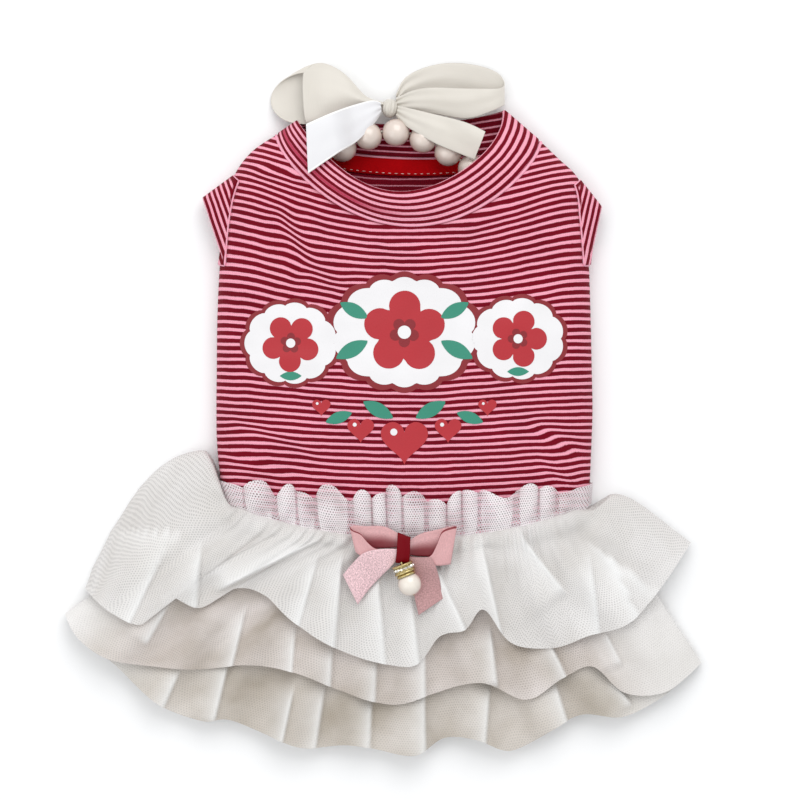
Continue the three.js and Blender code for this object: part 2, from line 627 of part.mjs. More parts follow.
const threadEnd = (knot, next, length) => knot.clone().add(knot.clone().sub(next).setLength(length));
addPiece('neck_pearl_thread', 0xf4f1ea, 0.6, rod([
  threadEnd(knots[0], knots[1], 1.6),
  ...knots,
  threadEnd(knots[knots.length - 1], knots[knots.length - 2], 1.6),
], THREAD_DIAMETER, 6));

// Neck bow of ivory satin, beside the far rim. Places are shares of the bow's span from its knot.
const IVORY = 0xf3efe6;
const neckKnot = [-0.042 * HALF_CHEST, 1.0814 * BODICE_LENGTH, NECK_KNOT.height / 2 + 0.8];
const onNeckBow = (x, y, z) => [neckKnot[0] + x * NECK_BOW_SPAN, neckKnot[1] + y * NECK_BOW_SPAN, z];
const knotEdge = (NECK_KNOT.width / 2 + SEAT_GAP * 0.6) / NECK_BOW_SPAN;
addPiece('neck_bow_knot', IVORY, 0.35, pad(neckKnot, [NECK_KNOT.width, NECK_KNOT.length, NECK_KNOT.height]));
addPiece('neck_bow_loop_left', IVORY, 0.35, ribbonLoop({
  root: onNeckBow(-knotEdge - 0.005, 0.015, neckKnot[2]), tip: onNeckBow(-0.518, 0.084, neckKnot[2]),
  width: NECK_BOW_SPAN * 0.224, widths: [0.3, 0.62, 0.98, 0.92, 0.5], rootHeight: 4, tipHeight: 9,
}));
addPiece('neck_bow_loop_right', IVORY, 0.35, ribbonLoop({
  root: onNeckBow(knotEdge + 0.005, 0.019, neckKnot[2]), tip: onNeckBow(0.479, 0.092, neckKnot[2]),
  width: NECK_BOW_SPAN * 0.187, widths: [0.4, 0.8, 1.0, 0.98, 0.88], rootHeight: 4, tipHeight: 9,
}));

// Each tail from its knot to its cut end: both edges in plan, and the height of the ribbon's middle
const tailColumns = ['edgeX', 'edgeY', 'otherX', 'otherY', 'height'];
function tailStations(place, rows) {
  return table(tailColumns, rows).map((row) => {
    const edge = place(row.edgeX, row.edgeY, row.height);
    const other = place(row.otherX, row.otherY, row.height);
    return { edgeX: edge[0], edgeY: edge[1], otherX: other[0], otherY: other[1], height: row.height };
  });
}
const knotTop = neckKnot[2] + NECK_KNOT.height / 2;
const overPearls = STRAND_HEIGHT + PEARL_DIAMETER / 2 + SEAT_GAP + RIBBON_WALL / 2;
const overCollar = RIM.frontRise * CHEST_DEPTH + COLLAR_WALL / 2 + SEAT_GAP + RIBBON_WALL / 2;
addPiece('neck_bow_tail_left', IVORY, 0.35, ribbonTail(tailStations(onNeckBow, [
  [-knotEdge, 0.026, -knotEdge, -0.028, knotTop - 2.6], [-0.102, 0.019, -0.083, -0.065, overPearls - 1.9],
  [-0.209, -0.021, -0.159, -0.161, overCollar - 0.4], [-0.303, -0.062, -0.261, -0.225, overCollar],
  [-0.364, -0.086, -0.357, -0.293, overCollar - 0.3],
])));
addPiece('neck_bow_tail_right', IVORY, 0.35, ribbonTail(tailStations(onNeckBow, [
  [knotEdge, -0.028, knotEdge, 0.026, knotTop - 1.9], [0.104, -0.062, 0.132, 0.011, overPearls - 1.6],
  [0.216, -0.146, 0.225, -0.024, overPearls + 0.1], [0.323, -0.209, 0.328, -0.067, overPearls],
  [0.384, -0.163, 0.375, -0.093, overPearls],
])));

// Waist bow of pink satin and its drop. Places are shares of the bow's span from its band.
const PINK = 0xe0aeb2;
const upper = tierMeshes[0];
const seamCentre = waistPoint(0.5, true);
const bandX = seamCentre.x - 0.9;
const bandY = seamCentre.y - 1.8;
const onWaistBow = (x, y, z) => [bandX + x * WAIST_BOW_SPAN, bandY + y * WAIST_BOW_SPAN, z];
const overAt = (x, y, reach) => {
  const place = onWaistBow(x, y, 0);
  const span = reach * WAIST_BOW_SPAN;
  return Math.max(topOver(upper, place[0], place[1], span), topOver(ruffle, place[0], place[1], span));
};
const bowRest = Math.max(overAt(-0.29, 0.05, 0.17), overAt(0, 0, 0.13), overAt(0.27, 0.05, 0.17)) + SEAT_GAP;
const LOOP_HEIGHT = 4.6;
const loopRise = bowRest + LOOP_HEIGHT / 2 + RIBBON_WALL + 0.3;
const bandEdge = (WAIST_BAND.width / 2 + SEAT_GAP) / WAIST_BOW_SPAN;
addPiece('waist_bow_loop_left', PINK, 0.4, ribbonLoop({
  root: onWaistBow(-bandEdge - 0.006, 0.043, loopRise), tip: onWaistBow(-0.5, 0.068, loopRise),
  width: WAIST_BOW_SPAN * 0.277, widths: [0.6, 0.78, 0.95, 1], rootHeight: 3.4, tipHeight: LOOP_HEIGHT,
}));
addPiece('waist_bow_loop_right', PINK, 0.4, ribbonLoop({
  root: onWaistBow(bandEdge + 0.006, 0.03, loopRise), tip: onWaistBow(0.5, 0.047, loopRise),
  width: WAIST_BOW_SPAN * 0.298, widths: [0.6, 0.78, 0.95, 1], rootHeight: 3.4, tipHeight: LOOP_HEIGHT,
}));
addPiece('waist_bow_band', 0x8c1220, 0.45, pad(
  onWaistBow(0, 0, bowRest + WAIST_BAND.height / 2 + 0.1),
  [WAIST_BAND.width, WAIST_BAND.length, WAIST_BAND.height],
));
const tailRest = bowRest + RIBBON_WALL / 2;
const leftTip = overAt(-0.457, -0.37, 0.15) + RIBBON_WALL / 2 + SEAT_GAP;
const rightTip = overAt(0.2, -0.455, 0.17) + RIBBON_WALL / 2 + SEAT_GAP;
addPiece('waist_bow_tail_left', PINK, 0.4, ribbonTail(tailStations(onWaistBow, [
  [-bandEdge, -0.026, -bandEdge, -0.11, tailRest], [-0.287, -0.043, -0.215, -0.221, tailRest],
  [-0.457, -0.166, -0.33, -0.383, Math.max(leftTip, lerp(tailRest, leftTip, 0.5))],
  [-0.589, -0.285, -0.434, -0.568, leftTip],
])));
addPiece('waist_bow_tail_right', PINK, 0.4, ribbonTail(tailStations(onWaistBow, [
  [0.168, -0.043, bandEdge, -0.089, tailRest], [0.291, -0.119, bandEdge, -0.23, Math.max(rightTip, lerp(tailRest, rightTip, 0.5))],
  [0.368, -0.4, 0.085, -0.464, rightTip], [0.311, -0.589, 0.153, -0.657, rightTip],
])));
const dropRadius = DROP_PEARL_DIAMETER / 2;
const dropDirection = new THREE.Vector3(0.36, -0.93, 0).normalize();
const half = RONDELLE_LENGTH / 2;
const ringRadius = RONDELLE_DIAMETER / 2;
const bandEnd = onWaistBow(0, 0, 0)[1] - WAIST_BAND.length / 2;
const rondelleCentre = new THREE.Vector3(bandX - 0.1, bandEnd - half - 1.6, 0);
const pearlCentre = rondelleCentre.clone().addScaledVector(dropDirection, half + dropRadius - 0.1);
const ribbonTop = Math.max(tailRest, rightTip) + RIBBON_WALL / 2;
rondelleCentre.z = Math.max(overAt(0, -0.22, 0.13), overAt(0.05, -0.37, 0.13), ribbonTop) + SEAT_GAP + dropRadius;
pearlCentre.z = rondelleCentre.z;
addPiece('pendant_rondelle', 0xc9a24a, 0.3, turned(rondelleCentre.toArray(), dropDirection.toArray(), [
  [0.9, -half], [ringRadius - 1.3, -half], [ringRadius, -half + 0.7], [ringRadius, half - 0.7],
  [ringRadius - 1.3, half], [2.6, half], [0.9, half - 1.2],
], 16));
addPiece('pendant_pearl', 0xf4ece2, 0.25, bead(pearlCentre.toArray(), dropDirection.toArray(), DROP_PEARL_DIAMETER, 1.8, 14, 8));
const pinAt = (share) => rondelleCentre.clone().addScaledVector(dropDirection, share);
addPiece('pendant_pin', 0xc9a24a, 0.3, rod([pinAt(-half - 0.9), pinAt(0), pinAt(half + DROP_PEARL_DIAMETER)], PIN_DIAMETER, 8));

// The whole dress stands centred over the origin with its lowest point on the table
const dress = new THREE.Group();
dress.name = 'dog_dress';
solids.forEach((mesh) => dress.add(mesh));
const bounds = new THREE.Box3().setFromObject(dress);
const centre = bounds.getCenter(new THREE.Vector3());
dress.position.set(-centre.x, -centre.y, -bounds.min.z);
dress.updateMatrixWorld(true);

export default dress;
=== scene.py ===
"""Small dog's dress, laid flat on a pale table: striped jersey, three tiers of net, pearls and satin bows."""
import math
from functools import lru_cache

import bmesh
import bpy
from bpy.props import FloatProperty, FloatVectorProperty, IntProperty, PointerProperty
from mathutils import Matrix, Vector, noise
from mathutils.bvhtree import BVHTree


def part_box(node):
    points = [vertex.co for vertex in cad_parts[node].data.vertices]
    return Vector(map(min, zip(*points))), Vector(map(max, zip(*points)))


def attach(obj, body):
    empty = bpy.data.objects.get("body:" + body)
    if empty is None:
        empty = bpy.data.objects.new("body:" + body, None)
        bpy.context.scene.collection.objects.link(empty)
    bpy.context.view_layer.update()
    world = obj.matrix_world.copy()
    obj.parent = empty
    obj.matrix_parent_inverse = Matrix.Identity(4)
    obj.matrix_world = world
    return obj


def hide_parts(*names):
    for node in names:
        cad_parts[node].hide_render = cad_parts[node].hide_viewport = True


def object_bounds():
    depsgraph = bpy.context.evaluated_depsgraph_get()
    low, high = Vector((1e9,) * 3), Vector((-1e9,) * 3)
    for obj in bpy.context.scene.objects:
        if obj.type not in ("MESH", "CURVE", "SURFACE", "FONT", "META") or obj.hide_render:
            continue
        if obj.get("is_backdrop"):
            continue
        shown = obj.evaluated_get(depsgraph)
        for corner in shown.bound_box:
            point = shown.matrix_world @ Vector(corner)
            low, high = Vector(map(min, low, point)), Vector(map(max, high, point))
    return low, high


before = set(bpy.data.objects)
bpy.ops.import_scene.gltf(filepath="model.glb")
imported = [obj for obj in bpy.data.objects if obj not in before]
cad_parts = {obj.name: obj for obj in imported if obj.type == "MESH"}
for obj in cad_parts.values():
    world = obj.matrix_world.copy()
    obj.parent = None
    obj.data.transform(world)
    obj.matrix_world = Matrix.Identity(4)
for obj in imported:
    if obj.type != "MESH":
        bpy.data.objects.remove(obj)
cad_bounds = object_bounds()

bl_info = {
    "name": "Dog Dress",
    "version": (1, 0, 0),
    "blender": (4, 5, 0),
    "location": "3D View > Sidebar > Dress",
    "description": "Builds a small striped dog's dress with a net skirt, pearls and satin bows",
    "category": "Object",
}

MM = 0.001
PHOTO_SCALE = 0.46  # millimetres of the dress for each pixel of the picture
PICTURE_SIDE = 800
WAIST_PIXEL = (400, 500)  # the middle of the waist line in the picture
RELIEF = 0.2 * MM  # depth of each material's bumps
BRIGHT_COURSE = "b52a4c"
DOUBLED_NET = "f4f4f3"
PEARL_RIM_TONE_AND_SHADE = "b9a197"
FULL_TURN = {"axis": (0, 0, 1), "cent": (0, 0, 0), "angle": 2 * math.pi, "use_merge": True}


def from_hex(code):
    """Linear colour of an sRGB hex value."""
    parts = [int(code[i:i + 2], 16) / 255 for i in (0, 2, 4)]
    return tuple(c / 12.92 if c <= 0.04045 else ((c + 0.055) / 1.055) ** 2.4 for c in parts)


def colour(name, description, code):
    return FloatVectorProperty(
        name=name, description=description, default=from_hex(code), subtype="COLOR", size=3, min=0, max=1,
    )


def length(name, description, default_mm):
    return FloatProperty(
        name=name, description=description, default=default_mm * MM, unit="LENGTH", subtype="DISTANCE", min=0,
    )


class DressSizes(bpy.types.PropertyGroup):
    bodice_length: length("Bodice length", "Waist seam to the corners of the neck seam", 167)
    half_chest: length("Half chest", "Half of the flat chest width", 85.5)
    chest_depth: length("Chest depth", "Height of the flattened tube above the table", 18)
    jersey_wall: length("Jersey", "Thickness of the jersey", 1.2)
    collar_wall: length("Collar", "Thickness of the folded collar", 2.0)
    stripe_pitch: length("Stripe pitch", "One crimson and one pink stripe", 3.08)
    net_pitch: length("Net pitch", "Distance from one hole of the net to the next", 1.25)
    skirt_half_width: length("Skirt half width", "Half of the widest part of the skirt", 146.5)
    skirt_drop: length("Skirt drop", "Waist line down to the lowest hem", 117.3)
    fold_height: length("Fold height", "Rise of the net folds at the hem", 6)
    ruffle_height: length("Heading height", "Gathered heading at the centre front", 20)
    ruffle_wave: length("Heading wave", "How far the heading's gathers stand out", 3.4)
    ruffle_folds: IntProperty(name="Heading gathers", description="Gathers of the front", default=16, min=4)
    pearl_diameter: length("Neck pearl", "Diameter of a neck pearl", 12.7)
    drop_pearl: length("Drop pearl", "Diameter of the drop's pearl", 10.8)
    rondelle_diameter: length("Rondelle", "Diameter of the drop's rondelle", 10.6)
    rondelle_length: length("Rondelle length", "Length of the drop's rondelle along its pin", 4.4)
    ribbon_wall: length("Ribbon", "Thickness of the satin ribbon", 0.4)


class DressColours(bpy.types.PropertyGroup):
    crimson: colour("Crimson", "Dark stripe of the jersey", "740219")
    rose: colour("Rose", "Light stripe of the jersey", "f8a9bc")
    binding: colour("Binding", "Cotton tape inside the neck", "b60910")
    # The tiers are one white net: the middle and lower colours are painted darker and beiger, as painted
    # shade from the tiers over them and a painted beige of what shows through
    net_upper: colour("Upper net", "Top tier of the skirt", "dddad8")
    net_middle: colour("Middle net", "Middle tier of the skirt", "c8c0bc")
    net_lower: colour("Lower net", "Lowest tier of the skirt", "bfb8b1")
    heading: colour("Heading net", "Gathered heading over the waist", "e8dce1")
    ivory: colour("Ivory satin", "Bow at the neck", "d6d0c6")
    blush: colour("Blush satin", "Bow at the waist", "d3a1a2")
    wine: colour("Wine satin", "Band and selvedge of the waist bow", "7c0a1c")
    pearl: colour("Pearl", "Lustre beads", "e3d5ca")
    gold: colour("Gold", "Rondelle and pin", "d8c58c")
    ink_white: colour("White ink", "Printed badges", "ebe9ea")
    ink_wine: colour("Wine ink", "Printed outlines", "86141f")
    ink_red: colour("Red ink", "Printed flowers", "b3202b")
    ink_green: colour("Green ink", "Printed leaves", "2f8a72")


# The dress's cut. Lengths in a table are shares of the size that its comment names, so that a new size
# carries all of it along.


def table(names, rows):
    return [dict(zip(names, row)) for row in rows]


# Waist seam first, neck seam last: left and right are shares of the half chest, side, front and back of
# the bodice length, depth of the chest depth; curve shapes the sag and rest lifts the row off the table
BODICE_ROWS = table(
    ("left", "right", "tilt", "side", "front", "back", "depth", "curve", "rest"),
    (
        (-0.950, 1.012, -0.004, -0.010, -0.113, -0.014, 0.84, 0.78, 1.8),
        (-0.979, 1.024, -0.008, 0.140, 0.070, 0.130, 0.92, 0.80, 1.8),
        (-0.984, 1.032, -0.006, 0.250, 0.190, 0.230, 0.96, 0.90, 0.3),
        (-0.982, 1.028, 0.000, 0.358, 0.305, 0.340, 1.00, 1.00, 0),
        (-0.979, 1.022, 0.000, 0.496, 0.430, 0.470, 1.02, 1.00, 0),
        (-0.965, 1.012, 0.000, 0.650, 0.545, 0.600, 1.04, 1.00, 0),
        (-0.940, 0.992, -0.004, 0.785, 0.625, 0.710, 1.06, 1.00, 0),
        (-0.890, 0.962, -0.006, 0.885, 0.680, 0.800, 1.08, 0.85, 0),
        (-0.796, 0.845, -0.008, 0.950, 0.718, 0.872, 1.10, 0.72, 0),
        (-0.662, 0.753, -0.009, 0.996, 0.754, 0.944, 1.14, 0.64, 0),
    ),
)
NECK_ROW = len(BODICE_ROWS) - 1
# Rows between which each armhole is open, and its share of the width at either side
ARMHOLE = {"bottom": 5, "top": 7, "share": 0.016}
# Reach of the soft side folds in millimetres, and the share of the depth at which they lie
SIDE_FOLD = {"front": 16, "back": 8, "level": 0.28}
# Top edge of the collar: rises in shares of the chest depth, places in shares of half chest and length
RIM = {
    "left": -0.547, "right": 0.554, "side_left": 1.043, "side_right": 1.073, "front": 0.8455, "back": 1.0395,
    "side_rise": 0.5, "front_rise": 1.333, "front_fold": 0.234, "back_fold": 0.149, "curve_left": 0.85,
    "curve_right": 0.5,
}
SLEEVE_HEMS = table(
    ("side", "tip_x", "tip_y", "low_x", "low_y"),
    (("left", -1.062, 0.832, -0.962, 0.686), ("right", 1.084, 0.808, 1.034, 0.696)),
)
# How far the stripes climb from the centre to each side, by height up the dress as a share of its length
STRIPE_SAG = table(
    ("up", "left", "right"),
    ((-0.1, 4.0, 3.5), (0.3, 5.0, 4.0), (0.5, 8.0, 6.0), (0.66, 13, 9.5), (0.8, 17.5, 13.0), (1.0, 17, 13)),
)
# Soft creases of the front, as shares of the half chest and the bodice length. Width, rise, and how far the
# stripes step across the crease are in millimetres
CREASES = table(
    ("x", "y", "to_x", "to_y", "width", "rise", "shift"),
    (
        (-0.66, 0.80, -0.50, 0.64, 4.0, -1.3, 1.5), (-0.50, 0.64, -0.32, 0.57, 4.5, -0.9, 1.0),
        (-0.80, 0.915, -0.50, 0.885, 2.6, 1.0, -0.7), (-0.60, 0.66, -0.30, 0.58, 6.5, 1.0, 0),
        (-0.92, 0.22, -0.45, 0.11, 3.4, -1.0, 0.5), (-0.93, 0.13, -0.55, 0.05, 3.2, 0.9, -0.4),
        (0.70, 0.22, 0.99, 0.12, 3.0, -1.0, -0.9), (0.76, 0.12, 1.0, 0.02, 2.8, 1.0, 0.7),
        (-0.10, 0.70, 0.14, 0.68, 3.2, 0.7, 0), (-0.06, 0.63, 0.20, 0.61, 3.6, 0.6, 0.3),
        (0.30, 0.74, 0.74, 0.84, 4.2, 0.8, -0.5), (-0.25, 0.34, 0.30, 0.30, 8.0, 0.6, 0),
        (0.45, 0.45, 0.85, 0.60, 7.0, 0.6, 0.4), (-0.75, 0.40, -0.35, 0.36, 5.0, 0.7, -0.4),
    ),
)
UPPER_HEM = table(("at", "x", "down"), (
    (0.00, -0.992, 0.345), (0.07, -0.904, 0.439), (0.13, -0.804, 0.482), (0.18, -0.738, 0.365),
    (0.24, -0.628, 0.420), (0.30, -0.515, 0.343), (0.36, -0.421, 0.372), (0.42, -0.330, 0.478),
    (0.49, -0.165, 0.596), (0.56, 0.035, 0.645), (0.62, 0.125, 0.530), (0.67, 0.205, 0.500),
    (0.71, 0.262, 0.425), (0.76, 0.345, 0.553), (0.82, 0.465, 0.578), (0.88, 0.590, 0.529),
    (0.94, 0.740, 0.455), (1.00, 0.917, 0.169),
))
MIDDLE_HEM = table(("at", "x", "down"), (
    (0.00, -1.055, 0.447), (0.06, -1.005, 0.549), (0.12, -0.905, 0.625), (0.20, -0.745, 0.655),
    (0.28, -0.612, 0.662), (0.35, -0.480, 0.645), (0.42, -0.320, 0.678), (0.48, -0.188, 0.745),
    (0.54, -0.030, 0.800), (0.60, 0.095, 0.761), (0.67, 0.250, 0.712), (0.74, 0.395, 0.780),
    (0.80, 0.515, 0.692), (0.86, 0.605, 0.652), (0.91, 0.705, 0.755), (0.96, 0.830, 0.752),
    (1.00, 0.951, 0.643),
))
LOWER_HEM = table(("at", "x", "down"), (
    (0.00, -0.975, 0.575), (0.05, -0.900, 0.640), (0.10, -0.828, 0.730), (0.17, -0.730, 0.822),
    (0.24, -0.619, 0.867), (0.29, -0.540, 0.862), (0.36, -0.425, 0.918), (0.43, -0.300, 0.973),
    (0.49, -0.150, 0.962), (0.56, 0.038, 1.000), (0.62, 0.140, 0.935), (0.67, 0.240, 0.940),
    (0.73, 0.350, 0.984), (0.79, 0.480, 0.900), (0.84, 0.575, 0.842), (0.90, 0.700, 0.850),
    (0.95, 0.805, 0.790), (1.00, 0.905, 0.690),
))
TIERS = table(
    ("name", "hem", "back_down", "lift", "root", "under", "left_x", "left_y", "right_x", "right_y", "pleats"),
    (
        ("skirt_tier_upper", UPPER_HEM, 0.50, 6.6, 0.45, 0, -13, 24, 6, 9, 34),
        ("skirt_tier_middle", MIDDLE_HEM, 0.66, 3.3, -1.95, 1, 0, 2, 5, 2, 30),
        ("skirt_tier_lower", LOWER_HEM, 0.88, 0, -4.2, 2, -1, 1, 0, 0, 26),
    ),
)
SWELL_SPAN = 0.04
# The upper tier's puff at its left fold, in millimetres, by share of the way from the waist to the hem
LEFT_PUFF = table(
    ("at", "x", "y"),
    (
        (0, 0, 0), (0.08, 1, 20), (0.16, 1.5, 31), (0.35, -1.5, 34), (0.6, 0, 31), (0.85, 2, 20),
        (0.95, 0, 7), (1, 0, 0),
    ),
)
# Edges where a fold of net laps over the next, in pixels of the picture: the raised side is on the left of
# the way from the first end to the last, and rise and reach are in millimetres
LAPS = {
    "skirt_tier_upper": (
        (231, 584, 317, 541, 3.4, 16), (198, 604, 203, 545, 2.2, 12), (172, 531, 104, 530, 2.4, 10),
        (132, 622, 168, 548, 1.8, 10), (299, 628, 318, 560, 1.8, 9), (335, 650, 343, 560, 2.2, 9),
        (386, 662, 379, 575, 2.2, 10), (503, 640, 482, 543, 3.2, 15), (471, 638, 436, 566, 2.6, 12),
        (560, 585, 518, 532, 2.6, 14), (600, 640, 590, 560, 1.6, 12), (640, 622, 612, 560, 1.6, 10),
        (655, 590, 592, 545, 2.0, 12), (420, 662, 412, 600, 1.8, 8),
    ),
    "skirt_tier_middle": (
        (497, 680, 491, 630, 3.0, 14), (568, 680, 549, 640, 2.6, 12), (426, 700, 424, 614, 2.6, 14),
        (291, 690, 296, 630, 2.0, 10), (232, 670, 246, 612, 2.2, 12), (330, 700, 333, 650, 2.0, 10),
        (150, 640, 170, 605, 1.8, 10), (620, 660, 605, 630, 1.8, 10), (375, 706, 377, 660, 1.6, 9),
    ),
    "skirt_tier_lower": (
        (426, 752, 425, 690, 3.0, 14), (216, 718, 229, 662, 2.6, 14), (316, 748, 325, 690, 2.4, 9),
        (283, 742, 294, 690, 2.2, 10), (486, 742, 490, 690, 2.0, 11), (568, 722, 556, 684, 2.6, 12),
        (370, 752, 372, 700, 1.8, 10), (165, 706, 180, 672, 2.0, 10), (630, 702, 612, 676, 1.8, 10),
    ),
}
# The tiers hang a seam's width apart, and lie one layer's pitch over each other where they cross
SEAM_DROP = 0.9
LAYER_PITCH = 1.65
NET_CLEAR = 0.62  # half of the net's solid wall and a little air
HALF_JERSEY = 0.6
LOFT_WAIST, LOFT_HEM = 10.8, 6.4  # height of the filled skirt beside the waist and at its hems
FAN_CENTRE_Y = 60  # the skirt's folds fan out from this height over the waist line
FAN_WAIST = 80  # from the fan's centre to where the loft begins to fall
# Lowest that the middle of each piece's wall lies over the table, in millimetres
FLOOR = {"collar": 1.12, "net": 0.35, "heading": 0.62, "sleeve": 0.65, "sleeve_seam": 0.66, "neck_seam": 0.76}
# Folds that fan out from the fan's centre: angle from straight down and spread in degrees, share of the rise
FOLDS = table(("angle", "spread", "rise"), (
    (-53, 3.6, 0.70), (-45, 3.0, 0.95), (-37, 3.0, 0.80), (-28, 3.2, 0.65), (-17, 3.4, 0.95), (-7, 3.0, 0.70),
    (2, 3.4, 1.00), (13, 3.2, 0.90), (22, 3.0, 0.80), (31, 3.4, 0.75), (41, 3.6, 0.90), (52, 3.6, 0.70),
))
# Line of the neck pearls: its top in shares of the half chest and the bodice length, and its fall from there
STRAND = {"top_x": -0.0433, "top_y": 1.0192, "fall": 0.0555, "power": 1.6, "clear": 3.65}
SEAT_GAP = 0.35  # from one neck pearl to the next
NECK_KNOT = (-0.042, 1.0814)  # middle of the neck bow's knot, in shares of half chest and bodice length


def lerp(a, b, t):
    return a + (b - a) * t


def clamp(x, low=0.0, high=1.0):
    return min(high, max(low, x))


def smooth(x):
    t = clamp(x)
    return t * t * (3 - 2 * t)


def inward(at, reach):
    """Nothing at either side fold, and rising to one at a reach from it."""
    return smooth(min(at, 1 - at) / reach)


def quarter(q):
    """Rise of a soft side fold: a quarter of an ellipse, then level."""
    return 1 if q >= 1 else math.sqrt(1 - (1 - q) * (1 - q))


def spline(p0, p1, p2, p3, t):
    return 0.5 * (
        2 * p1 + (p2 - p0) * t + (2 * p0 - 5 * p1 + 4 * p2 - p3) * t * t
        + (3 * p1 - p0 - 3 * p2 + p3) * t * t * t
    )


def row_at(rows, index):
    """A row between two rows of a table, by its index."""
    i = int(clamp(math.floor(index), 0, len(rows) - 2))
    near = [rows[int(clamp(k, 0, len(rows) - 1))] for k in (i - 1, i, i + 1, i + 2)]
    return {name: spline(*(row[name] for row in near), index - i) for name in rows[0]}


def along_table(rows, key, value):
    """A row of a table at a value of its key column."""
    i = 0
    while i < len(rows) - 2 and rows[i + 1][key] < value:
        i += 1
    return row_at(rows, i + (value - rows[i][key]) / (rows[i + 1][key] - rows[i][key]))


def curve_point(points, t):
    """A point on a smooth curve through a list of points."""
    x = clamp(t) * (len(points) - 1)
    i = min(int(x), len(points) - 2)
    near = [points[int(clamp(k, 0, len(points) - 1))] for k in (i - 1, i, i + 1, i + 2)]
    return Vector(spline(*(p[a] for p in near), x - i) for a in range(3))


class Cut:
    """Where each point of the dress's cloth lies, in millimetres from the middle of the waist line."""

    def __init__(self, sizes):
        for name in DressSizes.__annotations__:
            value = getattr(sizes, name)
            setattr(self, name, value if name.endswith("folds") else value / MM)
        self.bodice_row = lru_cache(maxsize=None)(lambda index: row_at(BODICE_ROWS, index))
        low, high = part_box("neck_bow_knot")
        knot = Vector((NECK_KNOT[0] * self.half_chest, NECK_KNOT[1] * self.bodice_length))
        self.origin = Vector(((low.x + high.x) / 2 - knot.x * MM, (low.y + high.y) / 2 - knot.y * MM, 0))

    def tube_height(self, at, width, bottom, top, front):
        reach = min(at, 1 - at) * width
        fold = bottom + SIDE_FOLD["level"] * (top - bottom)
        if front:
            return fold + (top - fold) * quarter(reach / SIDE_FOLD["front"])
        return fold - (fold - bottom) * quarter(reach / SIDE_FOLD["back"])

    def bodice(self, at, front, index):
        row = self.bodice_row(round(index, 5))
        left = row["left"] * self.half_chest
        right = row["right"] * self.half_chest
        sag = math.sin(math.pi * clamp(at)) ** row["curve"]
        centre = row["front"] if front else row["back"]
        height = row["side"] + row["tilt"] * (2 * at - 1) + (centre - row["side"]) * sag
        bottom = HALF_JERSEY + max(0, row["rest"])
        top = row["depth"] * self.chest_depth - HALF_JERSEY
        return Vector((
            lerp(left, right, at), height * self.bodice_length,
            self.tube_height(at, right - left, bottom, top, front),
        ))

    def bodice_normal(self, at, front, index):
        if at < 0.0005:
            return Vector((-1, 0, 0))
        if at > 0.9995:
            return Vector((1, 0, 0))
        step = 0.004
        across = self.bodice(clamp(at + step), front, index) - self.bodice(clamp(at - step), front, index)
        if not front:
            across.negate()
        up = min(index + 0.05, NECK_ROW)
        down = max(index - 0.05, 0)
        return across.cross(self.bodice(at, front, up) - self.bodice(at, front, down)).normalized()

    def crease(self, x, y):
        """Rise of the creases at a place on the front, and how far they shift the stripes there."""
        rise = 0.5 * noise.noise(Vector((x / 34, y / 26, 3.1)))
        rise += 0.16 * noise.noise(Vector((x / 9, y / 7, 8.2)))
        shift = 0.0
        for c in CREASES:
            start = Vector((c["x"] * self.half_chest, c["y"] * self.bodice_length))
            line = Vector((c["to_x"] * self.half_chest, c["to_y"] * self.bodice_length)) - start
            here = Vector((x, y)) - start
            t = here.dot(line) / line.length_squared
            near = (here - line * clamp(t)).length_squared / (c["width"] * c["width"])
            if near < 16:  # beyond four widths a crease has no height
                fade = smooth((t + 0.15) / 0.4) * smooth((1.15 - t) / 0.4)
                side = line.cross(here) / line.length / c["width"]
                rise += c["rise"] * fade * math.exp(-near)
                shift += c["shift"] * fade * side * math.exp(-near / 3)
        return rise, shift

    def stripe(self, x, y, shift=0.0):
        """Height of a point measured across the stripes, which sag at the centre."""
        sag = along_table(STRIPE_SAG, "up", clamp(y / self.bodice_length, -0.1, 1.0))
        share = clamp(abs(x - 2) / self.half_chest)
        climb = sag["left"] if x < 2 else sag["right"]
        return y - climb * smooth(share) ** 1.5 + shift

    def rim(self, at, front):
        side = lerp(RIM["side_left"], RIM["side_right"], at)
        power = lerp(RIM["curve_left"], RIM["curve_right"], at) if front else 1
        sag = math.sin(math.pi * clamp(at)) ** power
        reach = min(at, 1 - at)
        fold = RIM["side_rise"] * self.chest_depth
        if front:
            height = fold + (RIM["front_rise"] * self.chest_depth - fold) * quarter(reach / RIM["front_fold"])
        else:
            height = fold - (fold - 2.2) * quarter(reach / RIM["back_fold"])
        return Vector((
            lerp(RIM["left"], RIM["right"], at) * self.half_chest,
            lerp(side, RIM["front"] if front else RIM["back"], sag) * self.bodice_length, height,
        ))

    def collar(self, at, front, t):
        seam = self.bodice(at, front, NECK_ROW)
        seam.z = max(seam.z, FLOOR["collar"])
        rim = self.rim(at, front)
        seam_gap, crown = 0.7, 1.2
        start = seam + (rim - seam).normalized() * seam_gap
        point = start.lerp(rim, t)
        if front:
            point.z += crown * math.sin(math.pi * t) * math.sin(math.pi * at)
        point.z = max(point.z, FLOOR["collar"])
        return point

    def fold_rise(self, x, y):
        angle = math.degrees(math.atan2(x, FAN_CENTRE_Y - y))
        reach = math.hypot(x, FAN_CENTRE_Y - y)
        bump = sum(f["rise"] * math.exp(-(((angle - f["angle"]) / f["spread"]) ** 2)) for f in FOLDS)
        return self.fold_height * smooth((reach - 62) / 85) * bump

    def hem(self, tier, at, front):
        if front:
            hem = along_table(tier["hem"], "at", at)
            return Vector((hem["x"] * self.skirt_half_width, -hem["down"] * self.skirt_drop, 0))
        left, right = tier["hem"][0], tier["hem"][-1]
        side = lerp(left["down"], right["down"], at)
        down = lerp(side, tier["back_down"], math.sin(math.pi * clamp(at)) ** 0.8)
        return Vector((lerp(left["x"], right["x"], at) * self.skirt_half_width, -down * self.skirt_drop, 0))

